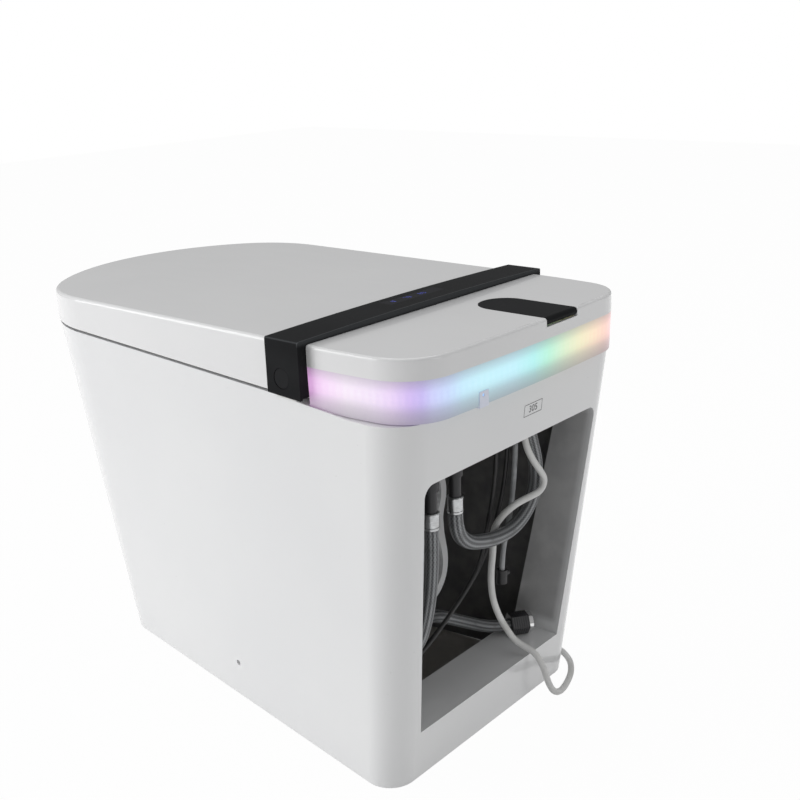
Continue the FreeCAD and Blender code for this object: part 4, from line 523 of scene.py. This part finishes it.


# Black strap. A satin black cover across the toilet, with thin painted highlights along the
# edges of its top.
strap = Finish("strap_black")
x, y, z = strap.at()
spark = strap.noise(1300.0, 3.0)
smear = strap.noise(26.0, 4.0, (1.0, 0.4, 1.0))
front_y, rear_y, half_width, top_z = 147.0, 190.0, 197.4, 479.6
near_top = z.ease(474.0, 479.0)
front_highlight = (y - front_y).size().ease(0.9, 0.3) * near_top
rear_highlight = (y - rear_y).size().ease(0.9, 0.3) * near_top
side_highlight = (x.size() - half_width).size().ease(1.0, 0.3) * (z - top_z).size().ease(1.4, 0.4)
# Painted highlights: the front, rear and side edges of the top are lighter.
painted_highlight = front_highlight * 0.5 + rear_highlight * 0.8 + side_highlight * 0.6
tone = strap.mix(smear.ease(0.35, 0.75), (0.0150, 0.0155, 0.0165), (0.0205, 0.021, 0.0225))
tone = strap.mix(painted_highlight, tone, (0.085, 0.09, 0.095))
strap_black = strap.wear(
    Base_Color=tone, Roughness=0.42 + smear * 0.12, Specular_IOR_Level=0.03,
    Normal=strap.relief(spark, 0.00012, 0.5))
coat_node(strap_black, "strap_cover")


# Display. A smoked window in the strap over a small board; the figures glow faintly
# through it, each made of short bars like those of a clock.
smoked = Finish("display_smoked")
wipe = smoked.noise(35.0, 4.0, (1.0, 0.3, 1.0))
coat_node(smoked.wear(
    Base_Color=smoked.mix(wipe.ease(0.3, 0.8), (0.018, 0.0185, 0.0215), (0.023, 0.0235, 0.027)),
    Roughness=0.36 + wipe * 0.12, Specular_IOR_Level=0.03), "display_window")

board = Finish("board_resist")
x, y, _ = board.at()
tracks = (x * 1.9).wave() * (y * 2.3).wave() + board.noise(160.0, 1.0) * 0.8
copper = tracks.ease(0.55, 0.62)
coat_node(board.wear(
    Base_Color=board.mix(copper, (0.014, 0.10, 0.045), (0.045, 0.20, 0.085)),
    Roughness=0.42 - copper * 0.12, Normal=board.relief(copper, 0.00015, 0.6)),
    "display_board", "control_board")

glow = Finish("figure_glow")
flicker = glow.noise(900.0, 1.0)
figure_glow = glow.wear(
    Base_Color=glow.mix(flicker, (0.010, 0.012, 0.03), (0.014, 0.016, 0.04)), Roughness=0.3,
    Emission_Color=glow.mix(flicker.ease(0.2, 0.8), (0.040, 0.055, 0.42), (0.060, 0.080, 0.58)),
    Emission_Strength=1.0)
segments = {
    "a": (0.0, 1.0, True), "b": (0.5, 0.5, False), "c": (0.5, -0.5, False), "d": (0.0, -1.0, True),
    "e": (-0.5, -0.5, False), "f": (-0.5, 0.5, False), "g": (0.0, 0.0, True)}
digits = {"3": "abcdg", "5": "acdfg", "7": "abc", "8": "abcdefg"}
glass_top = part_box("display_window")[1][2]
bpy.ops.object.select_all(action="DESELECT")


def joined(name, parts, material):
    """One piece made of several meshes, in one material."""
    bpy.ops.object.select_all(action="DESELECT")
    for part in parts:
        part.select_set(True)
    bpy.context.view_layer.objects.active = parts[0]
    bpy.ops.object.join()
    piece = bpy.context.object
    piece.name = name
    piece.data.materials.clear()
    piece.data.materials.append(material)
    return piece


def lit_bar(across, deep, wide, long):
    """One thin bar of light in the glass's top, given by its middle and its size."""
    sunk, thick = 0.00006, 0.00024
    bpy.ops.mesh.primitive_cube_add(size=1.0, location=(across, deep, glass_top - sunk))
    bar = bpy.context.object
    bar.scale = (wide, long, thick)
    bpy.ops.object.transform_apply(location=True, rotation=True, scale=True)
    soften = bar.modifiers.new("rounded", "BEVEL")
    soften.width = 0.0001
    bpy.ops.object.modifier_apply(modifier="rounded")
    return bar


bars = []
row_y, digit_width, digit_half_height = 0.1630, 0.0036, 0.0026
level_bar, upright_bar = (0.0030, 0.0005), (0.0005, 0.0022)
for figure, across in (("3", 0.0060), ("7", 0.0115), ("8", -0.0125), ("5", -0.0180)):
    for key in digits[figure]:
        dx, dy, level = segments[key]
        bars.append(lit_bar(across - dx * digit_width, row_y - dy * digit_half_height,
                            *(level_bar if level else upright_bar)))
bars.append(lit_bar(0.0300, row_y, 0.0012, 0.0060))
bars.append(lit_bar(0.0330, 0.1625, 0.0007, 0.0034))
figures = joined("display_figures", bars, figure_glow)
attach(figures, "root")


# Side button. A dark ring with a dished cap that is pressed with a thumb.
button = Finish("button_satin")
_, y, z = button.at()
middle_y, middle_z = 166.5, 441.5
from_middle = button.distance(y - middle_y, z - middle_z)
spun = (from_middle * 9.0).wave() * 0.5 + 0.5
tone = button.mix(from_middle.ease(9.5, 11.0), (0.0215, 0.022, 0.0235), (0.030, 0.031, 0.033))
coat_node(button.wear(
    Base_Color=tone, Roughness=0.40 + spun * 0.06, Specular_IOR_Level=0.03,
    Normal=button.relief(spun, 0.00002, 0.4)), "side_button")


# Rear cover. Glossy white plastic over the works, with the black lid of the filler
# port let into its top; the lid turns on a steel pin.
coat_node(moulding("cover_gloss", (0.86, 0.862, 0.868), (0.84, 0.842, 0.85), 0.16, 0.00003, 0.5),
          "rear_cover")
coat_node(strap_black, "filler_flap")
coat_node(bare_steel("pin_ground", (0.58, 0.59, 0.61), 0.2, 500.0, (8.0, 1.0, 1.0)),
          "filler_flap_pin", "dryer_flap_pin", "seat_hinge_pin", "lid_hinge_pin")


# Light band. A milky diffuser round the rear cover, lit from behind by a flexible
# strip of small lamps; the colour of the light changes along the band.
def glow_for(place, *screen_colour):
    """What the band adds to the studio's light to show a screen colour.

    The place is in millimetres round the band, from its front end on the left.
    """
    lamps = 0.40 if place < 100 else 0.34 if place < 150 else 0.25
    shown = []
    for value in screen_colour:
        part = value / 255.0
        linear = part / 12.92 if part <= 0.04045 else ((part + 0.055) / 1.055) ** 2.4
        shown.append(max(linear - lamps, 0.0))
    return tuple(shown)


band = Finish("band_milky")
x, y, z = band.at()
band_length, band_low, band_height, lamp_pitch = 634.0, 413.5, 41.0, 9.0
half = x.ease(-0.5, 0.5) * 2.0 - 1.0
round_band = band_length / 2.0 - x + half * (y - 320.5)
hues = [
    (0, 254, 213, 254), (50, 254, 243, 254), (80, 250, 237, 254), (104, 243, 223, 254),
    (128, 224, 204, 254), (143, 216, 205, 255), (157, 209, 214, 254), (180, 202, 224, 254),
    (200, 199, 239, 254), (229, 199, 245, 253), (277, 195, 244, 253), (312, 180, 245, 241),
    (338, 185, 246, 218), (370, 221, 242, 204), (400, 243, 238, 196), (430, 253, 228, 195),
    (455, 254, 214, 196), (472, 253, 205, 200), (520, 254, 205, 214), (634, 254, 205, 236)]
hue = band.node(
    "ShaderNodeValToRGB", {"stops": [(s[0] / band_length, glow_for(*s)) for s in hues]},
    [round_band / band_length])
levels = [
    (0.0, 0.22), (0.08, 0.28), (0.25, 0.46), (0.36, 0.68), (0.46, 0.90), (0.58, 1.0),
    (0.72, 0.95), (0.86, 0.68), (1.0, 0.44)]
level = band.node(
    "ShaderNodeValToRGB", {"stops": [(place, (value, value, value)) for place, value in levels]},
    [(z - band_low) / band_height])
dots = (round_band * (2.0 * math.pi / lamp_pitch)).wave() * 0.5 + 0.5
lamp_row_z = 437.0
beads = 1.0 - (1.0 - dots) * (z - lamp_row_z).size().ease(9.0, 2.0) * 0.07
glow_colour = band.mix(1.0 - level * beads, hue, (0.0, 0.0, 0.0))
milk = band.noise(300.0, 2.0)
coat_node(band.wear(
    Base_Color=band.mix(milk, (0.45, 0.43, 0.48), (0.49, 0.47, 0.51)),
    Roughness=0.30 + milk * 0.08, Coat_Weight=0.3, Coat_Roughness=0.1,
    Emission_Color=glow_colour, Emission_Strength=1.0,
    Normal=band.relief(milk, 0.00006, 0.4)), "light_band")

strip = Finish("led_strip_white")
x, y, z = strip.at()
half = x.ease(-0.5, 0.5) * 2.0 - 1.0
along = band_length / 2.0 - x + half * (y - 314.0)
chip_z = 436.0
chip = ((along * (2.0 * math.pi / lamp_pitch)).wave().ease(0.55, 0.75)
        * (z - chip_z).size().ease(2.4, 2.0))
coat_node(strip.wear(
    Base_Color=strip.mix(chip, (0.80, 0.80, 0.76), (0.75, 0.62, 0.15)),
    Roughness=0.5 - chip * 0.3, Normal=strip.relief(chip, 0.0004, 0.8)), "led_strip")

tab = Finish("tab_milky")
x, _, z = tab.at()
dot_x, dot_z = 85.2, 423.5
dot = tab.distance(x - dot_x, z - dot_z).ease(1.5, 1.0)
haze = tab.noise(200.0, 2.0)
pale = tab.mix(haze, (0.62, 0.64, 0.70), (0.70, 0.72, 0.78))
coat_node(tab.wear(
    Base_Color=tab.mix(dot, pale, (0.30, 0.48, 0.72)),
    Emission_Color=tab.mix(dot, (0.10, 0.11, 0.15), (0.18, 0.34, 0.62)), Emission_Strength=1.0,
    Roughness=0.3 + haze * 0.1, Coat_Weight=0.3), "band_sensor_tab")


# Seat and lid. Glossy white plastic; the seat is two shells round a heating foil,
# and both rest on soft pads.
coat_node(moulding("seat_gloss", (0.87, 0.87, 0.87), (0.85, 0.85, 0.852), 0.20, 0.00003, 0.4),
          "seat_upper_shell", "seat_lower_shell")
coat_node(moulding("lid_gloss", (0.86, 0.862, 0.868), (0.84, 0.842, 0.85), 0.15, 0.00003, 0.5),
          "lid_panel")
coat_node(moulding("pad_rubber", (0.62, 0.62, 0.62), (0.54, 0.54, 0.54), 0.6, 0.0002),
          "seat_buffers", "lid_buffers")
foil = Finish("heater_foil")
wire = (foil.noise(14.0, 0.0) * 60.0).wave().ease(0.75, 0.95)
coat_node(foil.wear(
    Base_Color=foil.mix(wire, (0.70, 0.70, 0.69), (0.50, 0.20, 0.08)), Metallic=0.9 - wire * 0.6,
    Roughness=0.32 + wire * 0.2, Normal=foil.relief(wire, 0.0006, 0.8)), "seat_heater")
coat_node(moulding("damper_black", (0.030, 0.030, 0.032), (0.045, 0.045, 0.048), 0.4, 0.0001),
          "seat_damper", "lid_damper")


# Wash wands. Drawn stainless tubes that slide in the guide, with white plastic tips
# that hold the jets.
coat_node(bare_steel("wand_stainless", (0.66, 0.67, 0.68), 0.14, 260.0, (10.0, 1.0, 1.0)),
          "rear_wash_wand", "front_wash_wand")
coat_node(moulding("wand_tip_white", (0.86, 0.86, 0.86), (0.80, 0.80, 0.80), 0.22, 0.00004, 0.3),
          "rear_wand_tip", "front_wand_tip")
coat_node(bare_steel("motor_can", (0.52, 0.52, 0.53), 0.32, 300.0, (1.0, 8.0, 1.0)),
          "wand_motors", "blower_motor")


# Dryer and works under the cover. Duct, blower, tank, heater and valves, all moulded;
# the fan's blades are black.
coat_node(moulding("duct_satin", (0.72, 0.72, 0.70), (0.64, 0.64, 0.62), 0.42, 0.00012),
          "dryer_duct", "dryer_flap", "blower_housing")
coat_node(moulding("fan_black", (0.035, 0.035, 0.037), (0.055, 0.055, 0.058), 0.4, 0.0001),
          "blower_fan")
tank = Finish("tank_milky")
_, _, z = tank.at()
line_pitch = 6.0
scale_lines = (z * (2.0 * math.pi / line_pitch)).wave().ease(0.93, 0.99)
cloud = tank.noise(20.0, 3.0)
milky = tank.mix(cloud, (0.76, 0.79, 0.80), (0.68, 0.72, 0.74))
coat_node(tank.wear(
    Base_Color=tank.mix(scale_lines * 0.6, milky, (0.30, 0.34, 0.38)),
    Roughness=0.3 + cloud * 0.1, Normal=tank.relief(cloud, 0.0002, 0.4)), "detergent_tank")
coat_node(moulding("heater_dark", (0.16, 0.16, 0.17), (0.11, 0.11, 0.12), 0.5, 0.0002),
          "water_heater")
valve = Finish("valve_two_tone")
_, _, z = valve.at()
black_below = z.ease(392.0, 388.0)
spark = valve.noise(900.0, 2.0)
drift = valve.noise(12.0, 2.0)
body_white = valve.mix(drift, (0.80, 0.80, 0.79), (0.72, 0.72, 0.71))
coat_node(valve.wear(
    Base_Color=valve.mix(black_below, body_white, (0.022, 0.022, 0.024)),
    Roughness=0.42 + drift * 0.08, Normal=valve.relief(spark, 0.0001, 0.5)),
    "inlet_valve", "jet_valve", "jet_port")


# Hose ferrules. Steel collars crimped on the two braided hoses, each with a rolled
# ring near both of its ends.
def crimped_collar(name, node_name):
    """A collar in the place of a ferrule, with its size taken from the frame."""
    low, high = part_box(node_name)
    middle = [(low[i] + high[i]) / 2.0 for i in range(3)]
    radius, height = (high[0] - low[0]) / 2.0, high[2] - low[2]
    bpy.ops.object.select_all(action="DESELECT")
    bpy.ops.mesh.primitive_cylinder_add(
        vertices=64, radius=radius * 0.93, depth=height * 0.96, location=middle)
    body = bpy.context.object
    bpy.ops.object.transform_apply(location=True, rotation=True, scale=True)
    soften = body.modifiers.new("rolled", "BEVEL")
    soften.width, soften.segments, soften.limit_method = 0.0006, 3, "ANGLE"
    bpy.ops.object.modifier_apply(modifier="rolled")
    parts = [body]
    inset = 0.00002
    for share, thick in ((0.16, 0.055), (0.92, 0.065)):
        bpy.ops.mesh.primitive_torus_add(
            major_segments=64, minor_segments=12, major_radius=radius * (1.0 - thick) - inset,
            minor_radius=radius * thick, location=(middle[0], middle[1], low[2] + height * share))
        bpy.ops.object.transform_apply(location=True, rotation=True, scale=True)
        parts.append(bpy.context.object)
    collar = joined(name, parts, ferrule_steel)
    bpy.ops.object.shade_smooth_by_angle(angle=math.radians(40.0))
    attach(collar, "root")
    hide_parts(node_name)


ferrule_steel = bare_steel("ferrule_brushed", (0.62, 0.63, 0.64), 0.22, 240.0, (1.0, 1.0, 9.0))
crimped_collar("inlet_collar", "inlet_ferrule")
crimped_collar("jet_collar", "jet_ferrule")


# Tap end. A black nut turned onto the inlet hose, with a bright plated ring at its
# mouth; the small drain valve and the foot sensor are black too.
knurl = Finish("nut_black")
x, y, _ = knurl.at()
ribs = ((x * 0.82 - y * 0.57) * 2.2).wave() * 0.5 + 0.5
coat_node(knurl.wear(
    Base_Color=knurl.mix(ribs, (0.020, 0.020, 0.022), (0.035, 0.035, 0.038)),
    Roughness=0.42 - ribs * 0.08, Normal=knurl.relief(ribs, 0.0003, 0.5)), "inlet_nut")
plated = Finish("ring_plated")
swirl = plated.noise(180.0, 3.0)
coat_node(plated.wear(
    Base_Color=plated.mix(swirl, (0.80, 0.80, 0.80), (0.70, 0.70, 0.70)), Metallic=1.0,
    Roughness=0.08 + swirl * 0.08), "inlet_washer")
coat_node(moulding("sensor_black", (0.030, 0.030, 0.032), (0.042, 0.042, 0.045), 0.38, 0.0001),
          "foot_sensor")
coat_node(black_sheath, "drain_valve")


# Mark on the back. A plain number in a thin frame: the distance in millimetres from
# the wall to the middle of the drain.
mark_ink = Finish("mark_ink")
worn = mark_ink.noise(700.0, 2.0)
ink = mark_ink.wear(
    Base_Color=mark_ink.mix(worn.ease(0.4, 0.8), (0.035, 0.035, 0.038), (0.12, 0.12, 0.12)),
    Roughness=0.45 + worn * 0.1)
bpy.ops.object.select_all(action="DESELECT")
bpy.ops.object.text_add(location=(0.0, 0.0, 0.0))
number = bpy.context.object
number.data.body = "305"
number.data.size = 0.0105
number.data.align_x, number.data.align_y = "CENTER", "CENTER"
number.data.resolution_u = 4
bpy.ops.object.convert(target="MESH")
frame_lines = []
level_size, upright_size = (0.0317, 0.0006), (0.0006, 0.0124)
for offset, size in (((0.0, 0.0062), level_size), ((0.0, -0.0062), level_size),
                     ((0.0156, 0.0), upright_size), ((-0.0156, 0.0), upright_size)):
    bpy.ops.mesh.primitive_grid_add(
        x_subdivisions=16, y_subdivisions=16, size=1.0, location=(*offset, 0.0))
    line = bpy.context.object
    line.scale = (*size, 1.0)
    bpy.ops.object.transform_apply(location=True, rotation=True, scale=True)
    frame_lines.append(line)
number = joined("rough_in_mark", [number] + frame_lines, ink)
number.rotation_euler = (math.radians(90.0), 0.0, math.radians(180.0))
number.location = (-0.0217, 0.322, 0.3781)
bpy.ops.object.transform_apply(location=True, rotation=True, scale=True)
onto = number.modifiers.new("printed", "SHRINKWRAP")
onto.target = nodes["ceramic_pan"]
onto.wrap_method, onto.use_project_y, onto.use_negative_direction = "PROJECT", True, True
onto.use_positive_direction = False
onto.offset = 0.00012
bpy.ops.object.modifier_apply(modifier="printed")
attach(number, "root")


bpy.context.view_layer.update()
